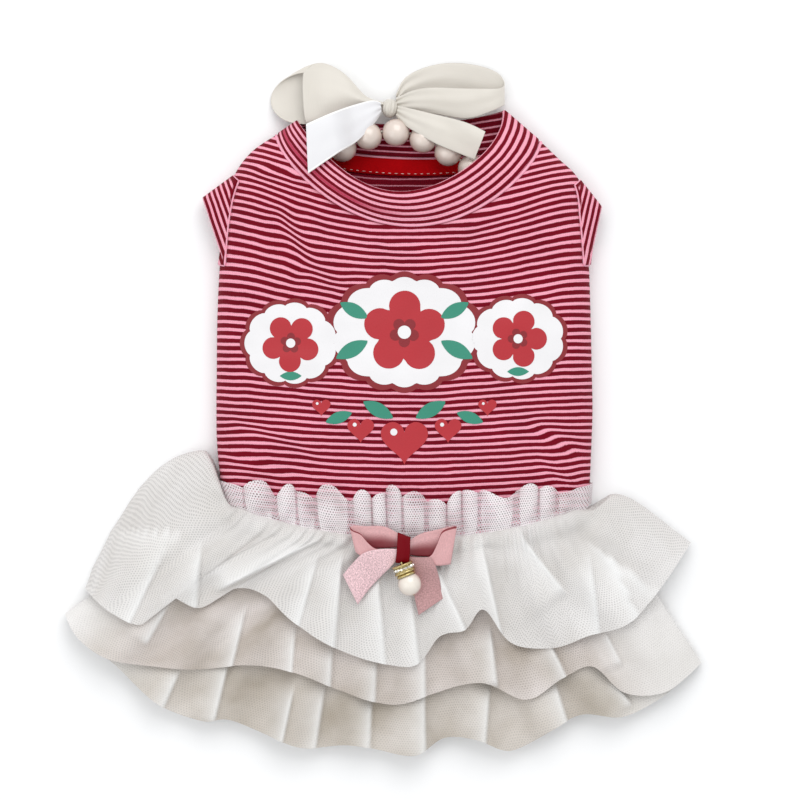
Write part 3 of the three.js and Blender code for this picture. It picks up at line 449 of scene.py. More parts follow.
    def hem_reach(self, tier, at):
        waist = self.bodice(at, False, 0)
        waist.z = 0
        return (self.hem(tier, at, False) - waist).length

    def tier(self, tier, at, front, t):
        root = self.bodice(at, front, 0)
        root.y -= SEAM_DROP * (1 + tier["under"])
        root.x *= 1 + tier["root"] / self.half_chest
        plan = root.lerp(self.hem(tier, at, front), t)
        left = 1 - smooth(at / SWELL_SPAN)
        right = 1 - smooth((1 - at) / SWELL_SPAN)
        # Both side folds swell out of the straight line from the waist to the hem
        swell_x = math.sin(math.pi * t ** 0.32)
        swell_y = math.sin(math.pi * math.sqrt(t)) * smooth(t / 0.1)
        if tier["under"]:
            plan.x += swell_x * left * tier["left_x"]
            plan.y += swell_y * left * tier["left_y"]
        else:
            puff = along_table(LEFT_PUFF, "at", t)
            near_fold = 1 - smooth(at / 0.055)
            plan.x += near_fold * puff["x"]
            plan.y += near_fold * puff["y"]
        plan.x += swell_x * right * tier["right_x"]
        plan.y += swell_y * right * tier["right_y"]
        bottom = NET_CLEAR
        reach = t * self.hem_reach(tier, at)
        for under in TIERS[:tier["under"]]:
            # A lower tier sinks to the table once it is past the hem of the tier over it
            bottom += LAYER_PITCH * (1 - smooth((reach - self.hem_reach(under, at) - 7) / 8))
        root_top = BODICE_ROWS[0]["depth"] * self.chest_depth + HALF_JERSEY + tier["root"]
        away = math.hypot(plan.x, FAN_CENTRE_Y - plan.y)
        base = lerp(LOFT_WAIST, LOFT_HEM, smooth((away - FAN_WAIST) / 95)) + tier["lift"]
        base += self.fold_rise(plan.x, plan.y)
        top = lerp(root_top, base, smooth(t / 0.3))
        across = min(at, 1 - at)
        fold = bottom + 0.3 * (top - bottom) * (1 - 0.5 * t)
        if front:
            plan.z = fold + (top - fold) * quarter(across / 0.085)
        else:
            plan.z = fold - (fold - bottom) * quarter(across / 0.05)
        return plan

    def laps(self, tier, x, y):
        """Rise of the lapped folds of a tier at a place, and how much cloth lies doubled there."""
        rise = doubled = 0.0
        doubled_reach = 8
        for x0, y0, x1, y1, step, reach in LAPS[tier["name"]]:
            start = photo(x0, y0).to_2d()
            line = photo(x1, y1).to_2d() - start
            here = Vector((x, y)) - start
            t = here.dot(line) / line.length_squared
            if -0.2 < t < 1.2:
                fade = smooth((t + 0.2) / 0.2) * smooth((1.2 - t) / 0.5)
                side = line.cross(here) / line.length
                edge = smooth(side / 1.5 + 0.5) * math.exp(-max(side, 0) / reach)
                rise += 1.25 * step * fade * edge
                doubled += fade * edge * math.exp(-max(side, 0) / doubled_reach)
        return rise, clamp(doubled)

    def strand(self, x):
        top_x = STRAND["top_x"] * self.half_chest
        return Vector((
            x, STRAND["top_y"] * self.bodice_length - STRAND["fall"] * abs(x - top_x) ** STRAND["power"],
            self.pearl_diameter / 2 + STRAND["clear"],
        ))

    def strand_knots(self):
        """The places between the pearls, from left to right."""
        pitch = self.pearl_diameter + SEAT_GAP
        first = STRAND["top_x"] * self.half_chest - self.pearl_diameter * 0.37
        sides = []
        for step, count in ((-0.02, 4), (0.02, 5)):
            knots = [self.strand(first)]
            while len(knots) < count:
                x = knots[-1].x
                while (self.strand(x) - knots[-1]).length < pitch:
                    x += step
                knots.append(self.strand(x))
            sides.append(knots)
        return sides[0][:0:-1] + sides[1]


def photo(x, y, z=0.0):
    """A place in the picture as a place on the dress, in millimetres."""
    return Vector(((x - WAIST_PIXEL[0]) * PHOTO_SCALE, (WAIST_PIXEL[1] - y) * PHOTO_SCALE, z))


def cut_now():
    return Cut(bpy.context.scene.dress_sizes)


# Materials


def add(tree, kind, inputs=(), output=0, **settings):
    """Adds a node with its settings and gives one of its outputs. Its inputs are values or other nodes'
    outputs, in their order or by name."""
    made = tree.nodes.new(f"ShaderNode{kind}")
    for name, value in settings.items():
        setattr(made, name, value)
    for key, value in inputs.items() if isinstance(inputs, dict) else enumerate(inputs):
        if isinstance(value, bpy.types.NodeSocket):
            tree.links.new(value, made.inputs[key])
        else:
            made.inputs[key].default_value = value
    return made.outputs[output] if made.outputs else None


def start_material(name):
    """A new material without nodes, and its tree."""
    material = bpy.data.materials.new(name)
    material.use_nodes = True
    material.node_tree.nodes.clear()
    return material, material.node_tree


def end_material(material, inputs):
    """Ends a material with its shader, from the shader's inputs, and the output."""
    shader = add(material.node_tree, "BsdfPrincipled", inputs)
    add(material.node_tree, "OutputMaterial", {"Surface": shader})
    return material


def tint(shade, share=1.0):
    """An opaque colour, darkened or lightened by a share."""
    return (*(min(1, c * share) for c in shade), 1.0)


def mottled(tree, shade, darker, lighter, **pattern):
    """A colour that drifts in clouds between a darker and a lighter tint of itself."""
    clouds = add(tree, "TexNoise", pattern)
    return add(tree, "Mix", {0: clouds, 6: tint(shade, darker), 7: tint(shade, lighter)}, 2, data_type="RGBA")


def jersey(name, palette, pitch, shift=0.0, dark_share=0.5, inner=None, band=None):
    """Yarn-dyed single jersey: soft matt cotton knitted in crimson and rose stripes, with fine upright wales,
    a slight fuzz and stripe edges that wander by a stitch. Past inner, a place across and up the cloth, the
    rose lines are thin. band is a brighter course: its middle and half width, and where it fades and ends."""
    material, tree = start_material(name)
    uv = add(tree, "UVMap", uv_map="cloth")
    across, along = (add(tree, "SeparateXYZ", (uv,), axis) for axis in (0, 1))
    wander = add(tree, "TexNoise", {"Vector": uv, "Scale": 0.11, "Detail": 3.0})
    fine = add(tree, "TexNoise", {"Vector": uv, "Scale": 1.1, "Detail": 2.0})
    moved = add(tree, "Math", (wander, 0.7, along), operation="MULTIPLY_ADD")
    moved = add(tree, "Math", (fine, 0.22, moved), operation="MULTIPLY_ADD")
    turn = add(tree, "Math", (moved, 2 * math.pi / pitch, shift), operation="MULTIPLY_ADD")
    wave = add(tree, "Math", (turn,), operation="SINE")
    if inner:
        beyond = add(tree, "Math", (across, inner[0]), operation="GREATER_THAN")
        above = add(tree, "Math", (along, inner[1]), operation="GREATER_THAN")
        purl = add(tree, "Math", (beyond, above), operation="MULTIPLY")
        wave = add(tree, "Math", (purl, -0.62, wave), operation="MULTIPLY_ADD")
    edge = math.sin(math.pi * (dark_share - 0.5))
    blur = 0.34
    rose = add(tree, "MapRange", (wave, edge - blur, edge + blur), interpolation_type="SMOOTHSTEP")
    wedge = add(tree, "Attribute", output="Fac", attribute_name="wedge")
    rose = add(tree, "Math", (rose, wedge), operation="SUBTRACT", use_clamp=True)
    # Wales 1.0 mm apart and courses 0.8 mm, drawn coarser than the real 0.6 mm so that they show
    wale_pitch, course_pitch = 1.0, 0.8
    wale = add(tree, "Math", (across, 2 * math.pi / wale_pitch), operation="MULTIPLY")
    wale = add(tree, "Math", (wale,), operation="COSINE")
    slant = add(tree, "Math", (wale, 0.9), operation="MULTIPLY")
    course = add(tree, "Math", (along, 2 * math.pi / course_pitch, slant), operation="MULTIPLY_ADD")
    course = add(tree, "Math", (course,), operation="SINE")
    knit = add(tree, "Math", (wale, 0.6, course), operation="MULTIPLY_ADD")
    clouds = {"Vector": uv, "Scale": 0.05, "Detail": 4.0}
    dark = mottled(tree, palette.crimson, 0.62, 1.35, **clouds)
    light = mottled(tree, palette.rose, 0.9, 1.08, **clouds)
    striped = add(tree, "Mix", {0: rose, 6: dark, 7: light}, 2, data_type="RGBA")
    if band:
        middle, half, fade_from, fade_to = band
        solid = add(tree, "Math", (moved, middle, half), operation="COMPARE")
        fades = add(tree, "MapRange", (across, fade_from, fade_to, 0.9, 0.0))
        solid = add(tree, "Math", (solid, fades), operation="MULTIPLY")
        solid = add(tree, "Math", (solid, rose), operation="MULTIPLY")
        bright = tint(from_hex(BRIGHT_COURSE))
        striped = add(tree, "Mix", {0: solid, 6: striped, 7: bright}, 2, data_type="RGBA")
    # Colour follows the knit's relief, darker in the grooves and lighter on the loops: painted shade of the
    # knit
    shade = add(tree, "MapRange", (knit, -1.6, 1.6, 0.86, 1.04))
    with_painted_shade = add(tree, "VectorMath", {0: striped, "Scale": shade}, operation="SCALE")
    fuzz = add(tree, "TexNoise", {"Vector": uv, "Scale": 2.6, "Detail": 2.0})
    relief = add(tree, "Math", (fuzz, 1.2, knit), operation="MULTIPLY_ADD")
    bump = add(tree, "Bump", {"Strength": 0.35, "Distance": RELIEF, "Height": relief})
    return end_material(material, {
        "Base Color": with_painted_shade, "Normal": bump, "Roughness": 0.88, "Specular IOR Level": 0.12,
        "Sheen Weight": 0.04,
    })


def cotton(name, shade):
    """Plain woven cotton: quite matt, with a fine over-and-under weave."""
    material, tree = start_material(name)
    place = add(tree, "TexCoord", output="Object")
    mixed = mottled(tree, shade, 0.75, 1.2, Vector=place, Scale=160.0, Detail=3.0)
    weave = add(tree, "TexNoise", {"Vector": place, "Scale": 2400.0, "Detail": 1.0})
    bump = add(tree, "Bump", {"Strength": 0.5, "Distance": RELIEF, "Height": weave})
    return end_material(material, {
        "Base Color": mixed, "Normal": bump, "Roughness": 0.95, "Specular IOR Level": 0.04,
    })


def net(name, shade, pitch, hole, thread, dot=0.05, lap=0.3, bleach=0.8, mottle=0.3):
    """Soft nylon net: fine white threads round small six-sided holes, so what lies under it shows through.
    hole and thread are how much each hides, dot how much darker the holes are painted, as painted shade of
    what lies under the net, lap and bleach how much denser and whiter doubled net is, and mottle how uneven
    the white is. The real mesh of 1 mm is drawn coarser."""
    material, tree = start_material(name)
    uv = add(tree, "UVMap", uv_map="cloth")
    drift = add(tree, "TexNoise", {"Vector": uv, "Scale": 0.05, "Detail": 2.0}, output=1)
    drift = add(tree, "VectorMath", {0: drift, "Scale": 3.5}, operation="SCALE")
    uv = add(tree, "VectorMath", (uv, drift), operation="ADD")
    # Three waves at 60 degrees to each other meet in six-sided cells, one pitch apart
    size = 4 * math.pi / (math.sqrt(3) * pitch)
    waves = []
    for angle in (90, 30, -30):
        turn = math.radians(angle)
        line = (math.cos(turn) * size, math.sin(turn) * size, 0)
        phase = add(tree, "VectorMath", (uv, line), "Value", operation="DOT_PRODUCT")
        waves.append(add(tree, "Math", (phase,), operation="COSINE"))
    pair = add(tree, "Math", (waves[0], waves[1]), operation="ADD")
    cells = add(tree, "Math", (pair, waves[2]), operation="ADD")
    ragged = add(tree, "TexNoise", {"Vector": uv, "Scale": 0.35, "Detail": 2.0})
    cells = add(tree, "Math", (ragged, 1.6, cells), operation="MULTIPLY_ADD")
    open_share = add(tree, "MapRange", (cells, 1.1, 2.3), interpolation_type="SMOOTHSTEP")
    cover = add(tree, "MapRange", {0: open_share, 3: thread, 4: hole})
    doubled = add(tree, "Attribute", output="Fac", attribute_name="wedge")
    cover = add(tree, "Math", (doubled, lap, cover), operation="MULTIPLY_ADD", use_clamp=True)
    clouds = add(tree, "TexNoise", {"Vector": uv, "Scale": 0.03, "Detail": 3.0})
    clouds = add(tree, "MapRange", (clouds, 0.3, 0.7))
    warm = [c * (1 - k * mottle) for c, k in zip(shade, (0.22, 0.27, 0.36))]
    fine = add(tree, "Mix", {0: clouds, 6: tint(warm), 7: tint(shade, 1 + 0.3 * mottle)}, 2, data_type="RGBA")
    whiter = add(tree, "Math", (doubled, bleach), operation="MULTIPLY")
    fine = add(tree, "Mix", {0: whiter, 6: fine, 7: tint(from_hex(DOUBLED_NET))}, 2, data_type="RGBA")
    # The open holes are painted darker: painted shade of what lies under the net
    painted_hole_shade = add(tree, "MapRange", {0: open_share, 3: 1.0, 4: 1.0 - dot})
    with_painted_shade = add(tree, "VectorMath", {0: fine, "Scale": painted_hole_shade}, operation="SCALE")
    bump = add(tree, "Bump", {"Strength": 0.3, "Distance": RELIEF, "Height": cells})
    return end_material(material, {
        "Base Color": with_painted_shade, "Normal": bump, "Alpha": cover, "Roughness": 0.7, "Sheen Weight": 0.15,
    })


def satin(name, shade, width, edge_shade, edge=0.5, painted_glints=0.0, turn_at=None, roughness=0.36, sheen=0.2,
          gloss=0.5):
    """Polyester satin ribbon: smooth floats along its length give a soft silky gloss, and a narrow woven
    selvedge runs down both sides. sparkle is the grain of a glittered satin: lighter and darker specks in
    its colour, as painted glints. turn_at is where a loop of ribbon dyed at one edge turns back on itself;
    past it the far half is painted darker low down inside the loop, as painted shade."""
    material, tree = start_material(name)
    uv = add(tree, "UVMap", uv_map="cloth")
    along, across = (add(tree, "SeparateXYZ", (uv,), axis) for axis in (0, 1))
    off = add(tree, "Math", (across,), operation="ABSOLUTE")
    selvedge = add(tree, "MapRange", (off, width / 2 - edge - 0.15, width / 2 - edge))
    stretch = add(tree, "VectorMath", (uv, (0.12, 3.2, 1)), operation="MULTIPLY")
    floats = add(tree, "TexNoise", {"Vector": stretch, "Scale": 1.0, "Detail": 2.0})
    grain = add(tree, "TexNoise", {"Vector": uv, "Scale": 1.7, "Detail": 3.0})
    base = mottled(tree, shade, 0.93, 1.04, Vector=uv, Scale=0.07, Detail=2.0)
    # Specks lighter and darker than the satin: painted glints of the glitter
    spots = add(tree, "MapRange", (grain, 0.3, 0.7, 1 - painted_glints, 1 + painted_glints))
    base = add(tree, "VectorMath", {0: base, "Scale": spots}, operation="SCALE")
    if turn_at:
        # A loop's dyed edge runs along the near half; low down inside the loop its far half is painted wine,
        # as painted shade
        near = add(tree, "MapRange", (along, turn_at - 1, turn_at + 1))
        far = add(tree, "Math", (1.0, near), operation="SUBTRACT")
        upper = add(tree, "Math", (across, 0.0), operation="LESS_THAN")
        upper = add(tree, "Math", (upper, near), operation="MULTIPLY")
        selvedge = add(tree, "Math", (selvedge, upper), operation="MULTIPLY")
        painted_loop_shade = add(tree, "MapRange", {0: across, 1: -2.6, 2: 2.6, 4: 0.95}, interpolation_type="SMOOTHSTEP")
        painted_loop_shade = add(tree, "Math", (painted_loop_shade, far), operation="MULTIPLY")
        base = add(tree, "Mix", {0: painted_loop_shade, 6: base, 7: tint(edge_shade)}, 2, data_type="RGBA")
    base = add(tree, "Mix", {0: selvedge, 6: base, 7: tint(edge_shade)}, 2, data_type="RGBA")
    relief = add(tree, "Math", (selvedge, 0.6, floats), operation="MULTIPLY_ADD")
    bump = add(tree, "Bump", {"Strength": 0.25, "Distance": RELIEF, "Height": relief})
    return end_material(material, {
        "Base Color": base, "Normal": bump, "Roughness": roughness, "Specular IOR Level": gloss,
        "Sheen Weight": sheen, "Anisotropic": 0.5,
    })


def pearl_lustre(name, shade):
    """Acrylic bead with a pearl coat: milky body, faint swirls and a clear bright gloss."""
    material, tree = start_material(name)
    place = add(tree, "TexCoord", output="Object")
    body = mottled(tree, shade, 0.86, 1.06, Vector=place, Scale=190.0, Detail=3.0, Distortion=1.2)
    # Towards its edges the bead turns a darker pinkish tone: the coat's overtone, darkened as painted shade
    rim = add(tree, "LayerWeight", {"Blend": 0.35}, "Facing")
    blush = add(tree, "Mix", {0: rim, 6: body, 7: tint(from_hex(PEARL_RIM_TONE_AND_SHADE))}, 2, data_type="RGBA")
    return end_material(material, {
        "Base Color": blush, "Roughness": 0.22, "Coat Weight": 0.8, "Coat Roughness": 0.06,
        "Specular IOR Level": 0.6,
    })


def plated_gold(name, shade):
    """Gold plate on a cast ring: bright metal with fine casting marks."""
    material, tree = start_material(name)
    marks_at = {"Vector": add(tree, "TexCoord", output="Object"), "Scale": 900.0, "Detail": 2.0}
    marks = add(tree, "TexNoise", marks_at)
    gloss = add(tree, "MapRange", (marks, 0.3, 0.7, 0.18, 0.34))
    bump = add(tree, "Bump", {"Strength": 0.2, "Distance": RELIEF, "Height": marks})
    return end_material(material, {
        "Base Color": mottled(tree, shade, 0.7, 1.0, **marks_at), "Roughness": gloss, "Normal": bump,
        "Metallic": 1.0,
    })


def cut_glass(name, dull, flash):
    """Small foiled glass stones: clear facets over a silvery back, so each flashes light or dark. The
    flashes are painted reflections: a fine noise mixes a dull and a flash colour.
    """
    material, tree = start_material(name)
    place = add(tree, "TexCoord", output="Object")
    facets = add(tree, "TexNoise", {"Vector": place, "Scale": 1400.0, "Detail": 1.0})
    painted_flashes = add(tree, "Mix", {0: facets, 6: tint(dull), 7: tint(flash)}, 2, data_type="RGBA")
    return end_material(material, {
        "Base Color": painted_flashes, "Metallic": 0.85, "Roughness": 0.06, "Coat Weight": 1.0,
    })


def plastisol(name, shade):
    """Screen print: a thin rubbery film of ink with a low gloss that takes the knit's texture."""
    material, tree = start_material(name)
    place = add(tree, "TexCoord", output="Object")
    film = mottled(tree, shade, 0.9, 1.05, Vector=place, Scale=60.0, Detail=3.0)
    grain = add(tree, "TexNoise", {"Vector": place, "Scale": 1100.0, "Detail": 2.0})
    bump = add(tree, "Bump", {"Strength": 0.3, "Distance": RELIEF, "Height": grain})
    return end_material(material, {"Base Color": film, "Normal": bump, "Roughness": 0.48})


# Making and placing pieces


def finish_piece(bm, name, material, slot_name, origin, nodes=(), wall=0.0, rounds=0):
    """Turns a bmesh in millimetres into a piece of the dress, in its place on the frame."""
    bmesh.ops.scale(bm, vec=(MM, MM, MM), verts=bm.verts)
    bmesh.ops.translate(bm, vec=origin, verts=bm.verts)
    mesh = bpy.data.meshes.new(name)
    for face in bm.faces:
        face.smooth = True
    bm.to_mesh(mesh)
    bm.free()
    piece = bpy.data.objects.new(name, mesh)
    bpy.context.scene.collection.objects.link(piece)
    mesh.materials.append(material)
    if wall:
        solid = piece.modifiers.new("Cloth thickness", "SOLIDIFY")
        solid.thickness = wall * MM
        solid.offset = 0
    if rounds:
        soft = piece.modifiers.new("Soft edge", "SUBSURF")
        soft.levels = rounds
        soft.render_levels = rounds
    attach(piece, "root")
    if nodes:
        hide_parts(*nodes)
    return piece


def cloth_sheet(columns, rows, place, flat, ring=False, keep=None, tag=None):
    """A sheet of cloth from a flat grid: place(s, t) says where it lies and flat(s, t) where it was on the
    cut cloth, in millimetres. A ring is closed from its last column to its first."""
    bm = bmesh.new()
    bmesh.ops.create_grid(bm, x_segments=columns, y_segments=rows, size=0.5)
    uv = bm.loops.layers.uv.new("cloth")
    wedge = bm.verts.layers.float.new("wedge") if tag else None
    spots = {v: (round(v.co.x + 0.5, 6), round(v.co.y + 0.5, 6)) for v in bm.verts}
    for face in bm.faces:
        for loop in face.loops:
            loop[uv].uv = flat(*spots[loop.vert])
    if keep:
        away = []
        for face in bm.faces:
            middle = face.calc_center_median()
            if not keep(middle.x + 0.5, middle.y + 0.5):
                away.append(face)
        bmesh.ops.delete(bm, geom=away, context="FACES")
    for v in bm.verts:
        s, t = spots[v]
        v.co = place(s, t)
        if tag:
            v[wedge] = tag(s, t)
    if ring:
        bmesh.ops.remove_doubles(bm, verts=bm.verts, dist=0.0005)
        bmesh.ops.recalc_face_normals(bm, faces=bm.faces)
    elif sum(face.normal.z * face.calc_area() for face in bm.faces) < 0:
        bmesh.ops.reverse_faces(bm, faces=bm.faces)
    bm.normal_update()
    return bm


def unrolled(place, columns, rows, level):
    """Flat cloth coordinates that keep the sheet's lengths: along it at one level, and up each column."""
    along = [0.0]
    for k in range(columns):
        along.append(along[-1] + (place((k + 1) / columns, level) - place(k / columns, level)).length)
    up = []
    for k in range(columns + 1):
        column = [0.0]
        for j in range(rows):
            step = place(k / columns, (j + 1) / rows) - place(k / columns, j / rows)
            column.append(column[-1] + step.length)
        up.append(column)
    return lambda s, t: (along[round(s * columns)], up[round(s * columns)][round(t * rows)])


def tube(points, radius, sides=8, closed=False):
    """A round thread or welt through a list of points: circles joined one to the next."""
    bm = bmesh.new()
    rings = []
    count = len(points)
    for i, point in enumerate(points):
        before = points[(i - 1) % count] if closed else points[max(i - 1, 0)]
        after = points[(i + 1) % count] if closed else points[min(i + 1, count - 1)]
        place = Matrix.Translation(point) @ (after - before).to_track_quat("Z", "Y").to_matrix().to_4x4()
        made = bmesh.ops.create_circle(bm, segments=sides, radius=radius, matrix=place)
        rings.append([e for e in bm.edges if e.verts[0] in made["verts"] and e.verts[1] in made["verts"]])
    for i in range(count if closed else count - 1):
        bmesh.ops.bridge_loops(bm, edges=rings[i] + rings[(i + 1) % count])
    if not closed:
        for ring in (rings[0], rings[-1]):
            bmesh.ops.contextual_create(bm, geom=ring)
    bmesh.ops.recalc_face_normals(bm, faces=bm.faces)
    return bm


def turned(profile, centre, direction, steps=32):
    """A profile of radius and height spun round its own line."""
    bm = bmesh.new()
    verts = [bm.verts.new((r, 0, h)) for r, h in profile]
    edges = [bm.edges.new(pair) for pair in zip(verts, verts[1:])]
    bmesh.ops.spin(bm, geom=verts + edges, steps=steps, **FULL_TURN)
    bmesh.ops.remove_doubles(bm, verts=bm.verts, dist=0.0005)
    bmesh.ops.recalc_face_normals(bm, faces=bm.faces)
    turn = direction.to_track_quat("Z", "Y").to_matrix().to_4x4()
    bmesh.ops.transform(bm, matrix=Matrix.Translation(centre) @ turn, verts=bm.verts)
    return bm


def stitches(line, first, last, count, step, size):
    """A row of short stitches: small rounded bars laid along line(at), from its first share to its last."""
    bm = bmesh.new()
    shape = Matrix.Diagonal((size[0] / 2, size[1] / 2, size[1] / 2, 1))
    for k in range(count):
        at = lerp(first, last, k / (count - 1))
        point = line(at)
        turn = (line(at + step) - point).to_track_quat("X", "Z").to_matrix().to_4x4()
        place = Matrix.Translation(point) @ turn @ shape
        bmesh.ops.create_icosphere(bm, subdivisions=1, radius=1, matrix=place)
    return bm


def spread_at(s):
    """Columns of the bodice: close together at the two side folds, where the armholes are cut."""
    edge = 8 / 120  # eight of the 120 columns of the front
    share = ARMHOLE["share"]
    if s < edge:
        return share * (s / edge) ** 2
    if s > 1 - edge:
        return 1 - share * ((1 - s) / edge) ** 2
    return lerp(share, 1 - share, (s - edge) / (1 - 2 * edge))


def ring_place(s):
    """Share of a flattened tube's ring as a share across it and whether that is on the front."""
    return (spread_at(2 * s), True) if s <= 0.5 else (spread_at(2 - 2 * s), False)


def even_ring(s):
    return (2 * s, True) if s <= 0.5 else (2 - 2 * s, False)


class DRESS_OT_stage(bpy.types.Operator):
    """Lays out the pale table, the soft studio light and the camera above the dress"""

    bl_idname = "dress.stage"
    bl_label = "Table, light and camera"

    def execute(self, context):
        scene = context.scene
        cut = cut_now()
        middle = cut.origin + photo(PICTURE_SIDE / 2, PICTURE_SIDE / 2) * MM
        bm = bmesh.new()
        bmesh.ops.create_grid(bm, x_segments=1, y_segments=1, size=6.0)
        mesh = bpy.data.meshes.new("table")
        bm.to_mesh(mesh)
        bm.free()
        floor = bpy.data.objects.new("table", mesh)
        scene.collection.objects.link(floor)
        floor.location = (0, 0, -0.0002)
        laminate = start_material("Matt white laminate")[0]
        looks = {"Base Color": tint(from_hex("fbfbfb")), "Roughness": 0.9, "Specular IOR Level": 0.1}
        mesh.materials.append(end_material(laminate, looks))
        floor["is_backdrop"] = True

        world = bpy.data.worlds.new("Studio")
        world.use_nodes = True
        tone, strength = world.node_tree.nodes["Background"].inputs[:2]
        tone.default_value = (0.97, 0.985, 1.0, 1)
        strength.default_value = 0.78
        scene.world = world
        for name, place, size, power in (
            ("Key softbox", (0.2, 0.95, 1.1), 1.2, 9.4),
            ("Fill softbox", (-0.9, -0.3, 1.2), 1.2, 4.0),
        ):
            light = bpy.data.lights.new(name, "AREA")
            light.shape = "SQUARE"
            light.size = size
            light.energy = power
            lamp = bpy.data.objects.new(name, light)
            lamp.location = middle + Vector(place)
            lamp.rotation_euler = (middle - lamp.location).to_track_quat("-Z", "Y").to_euler()
            scene.collection.objects.link(lamp)

        camera = bpy.data.cameras.new("Camera")
        view = bpy.data.objects.new("Camera", camera)
        scene.collection.objects.link(view)
        # The camera stands 1.5 m over the middle height of the dress, far enough for a flat view
        height, dress_height, sensor = 1.5, 0.01, 36
        view.location = middle + Vector((0, 0, height + dress_height))
        camera.sensor_width = sensor
        camera.lens = sensor * height / (PICTURE_SIDE * PHOTO_SCALE * MM)
        camera.clip_start = 0.01
        scene.camera = view
        scene.view_settings.view_transform = "Standard"
        return {"FINISHED"}


class DRESS_OT_bodice(bpy.types.Operator):
    """Makes the striped jersey bodice, a flattened tube open at the neck, waist and armholes"""

    bl_idname = "dress.bodice"
    bl_label = "Bodice"

    def execute(self, context):
        cut = cut_now()
        palette = context.scene.dress_colours

        def place(s, t):
            at, front = ring_place(s)
            index = t * NECK_ROW
            point = cut.bodice(at, front, index)
            if front:
                inner = inward(at, 0.06) * smooth((index - 1.3) / 1.2) * smooth(NECK_ROW - index)
                point.z += inner * cut.crease(point.x, point.y)[0]
            return point

        def flat(s, t):
            at, front = ring_place(s)
            point = cut.bodice(at, front, t * NECK_ROW)
            shift = inward(at, 0.06) * sum(cut.crease(point.x, point.y)) if front else 0.0
            across = point.x if front else 2 * cut.half_chest - point.x
            return (across, cut.stripe(point.x, point.y, shift))

        def tag(s, t):
            """Where the rose stripes fade to crimson, on the front beside the neck seam."""
            at, front = ring_place(s)
            depth = NECK_ROW - t * NECK_ROW
            middle = smooth((min(at, 1 - at) - 0.1) / 0.12)
            return 0.9 * smooth((0.34 - depth) / 0.16) * middle if front else 0.0

        def keep(s, t):
            at, front = ring_place(s)
            index = t * NECK_ROW
            return not (ARMHOLE["bottom"] < index < ARMHOLE["top"] and min(at, 1 - at) < ARMHOLE["share"])

        bm = cloth_sheet(240, 126, place, flat, ring=True, keep=keep, tag=tag)
        # The thin rose lines are on the back, seen inside the neck
        back = (cut.half_chest, 118)
        cloth = jersey("Striped cotton jersey", palette, cut.stripe_pitch, dark_share=0.6, inner=back)
        piece = finish_piece(
            bm, "bodice_jersey", cloth, "striped_jersey", cut.origin, ["bodice"], wall=cut.jersey_wall,
        )
        return {"FINISHED"}


def print_disc(bm, centre, reach, outline, surface, lift, spokes, rings):
    """One printed shape: a disc spun from a line of points, drawn to its outline and laid on the cloth."""
    before = set(bm.verts)
    verts = [bm.verts.new((k / rings, 0, 0)) for k in range(rings + 1)]
    edges = [bm.edges.new(pair) for pair in zip(verts, verts[1:])]
    bmesh.ops.spin(bm, geom=verts + edges, steps=spokes, **FULL_TURN)
    fresh = [v for v in bm.verts if v not in before]
    for v in fresh:
        away = v.co.length
        turn = math.atan2(v.co.y, v.co.x)
        out = outline(turn)
        x = centre[0] + away * reach * out * math.cos(turn)
        y = centre[1] + away * reach * out * math.sin(turn)
        v.co = (x, y, surface(x, y) + lift)
    bmesh.ops.remove_doubles(bm, verts=fresh, dist=0.0005)


def scalloped(lobes, depth, wide, tall):
    """Outline of a badge: an oval with round lobes."""
    def outline(turn):
        oval = 1 / math.hypot(math.cos(turn) / wide, math.sin(turn) / tall)
        return oval * (1 - depth + 2 * depth * abs(math.sin(lobes * turn / 2)) ** 0.7)
    return outline


def leaf(tilt, slim=0.4):
    """Outline of a pointed leaf about its own middle."""
    def outline(turn):
        side, along = abs(math.sin(turn - tilt)), math.cos(turn - tilt)
        return 2 * slim / (side + math.sqrt(side * side + 4 * slim * slim * along * along))
    return outline


def petals(count, spin):
    """Outline of a flower with round petals."""
    def outline(turn):
        return 0.56 + 0.44 * abs(math.cos(count * (turn - spin) / 2)) ** 0.6
    return outline


def round_dot(turn):
    return 1.0


def heart():
    """Outline of a heart that stands on its point."""
    spots = []
    for k in range(361):
        t = math.radians(k)
        x = 16 * math.sin(t) ** 3
        y = 13 * math.cos(t) - 5 * math.cos(2 * t) - 2 * math.cos(3 * t) - math.cos(4 * t)
        spots.append((math.atan2(y + 2, x), math.hypot(x, y + 2) / 17))
    spots.sort()

    def outline(turn):
        return min(spots, key=lambda spot: abs(spot[0] - turn))[1]
    return outline


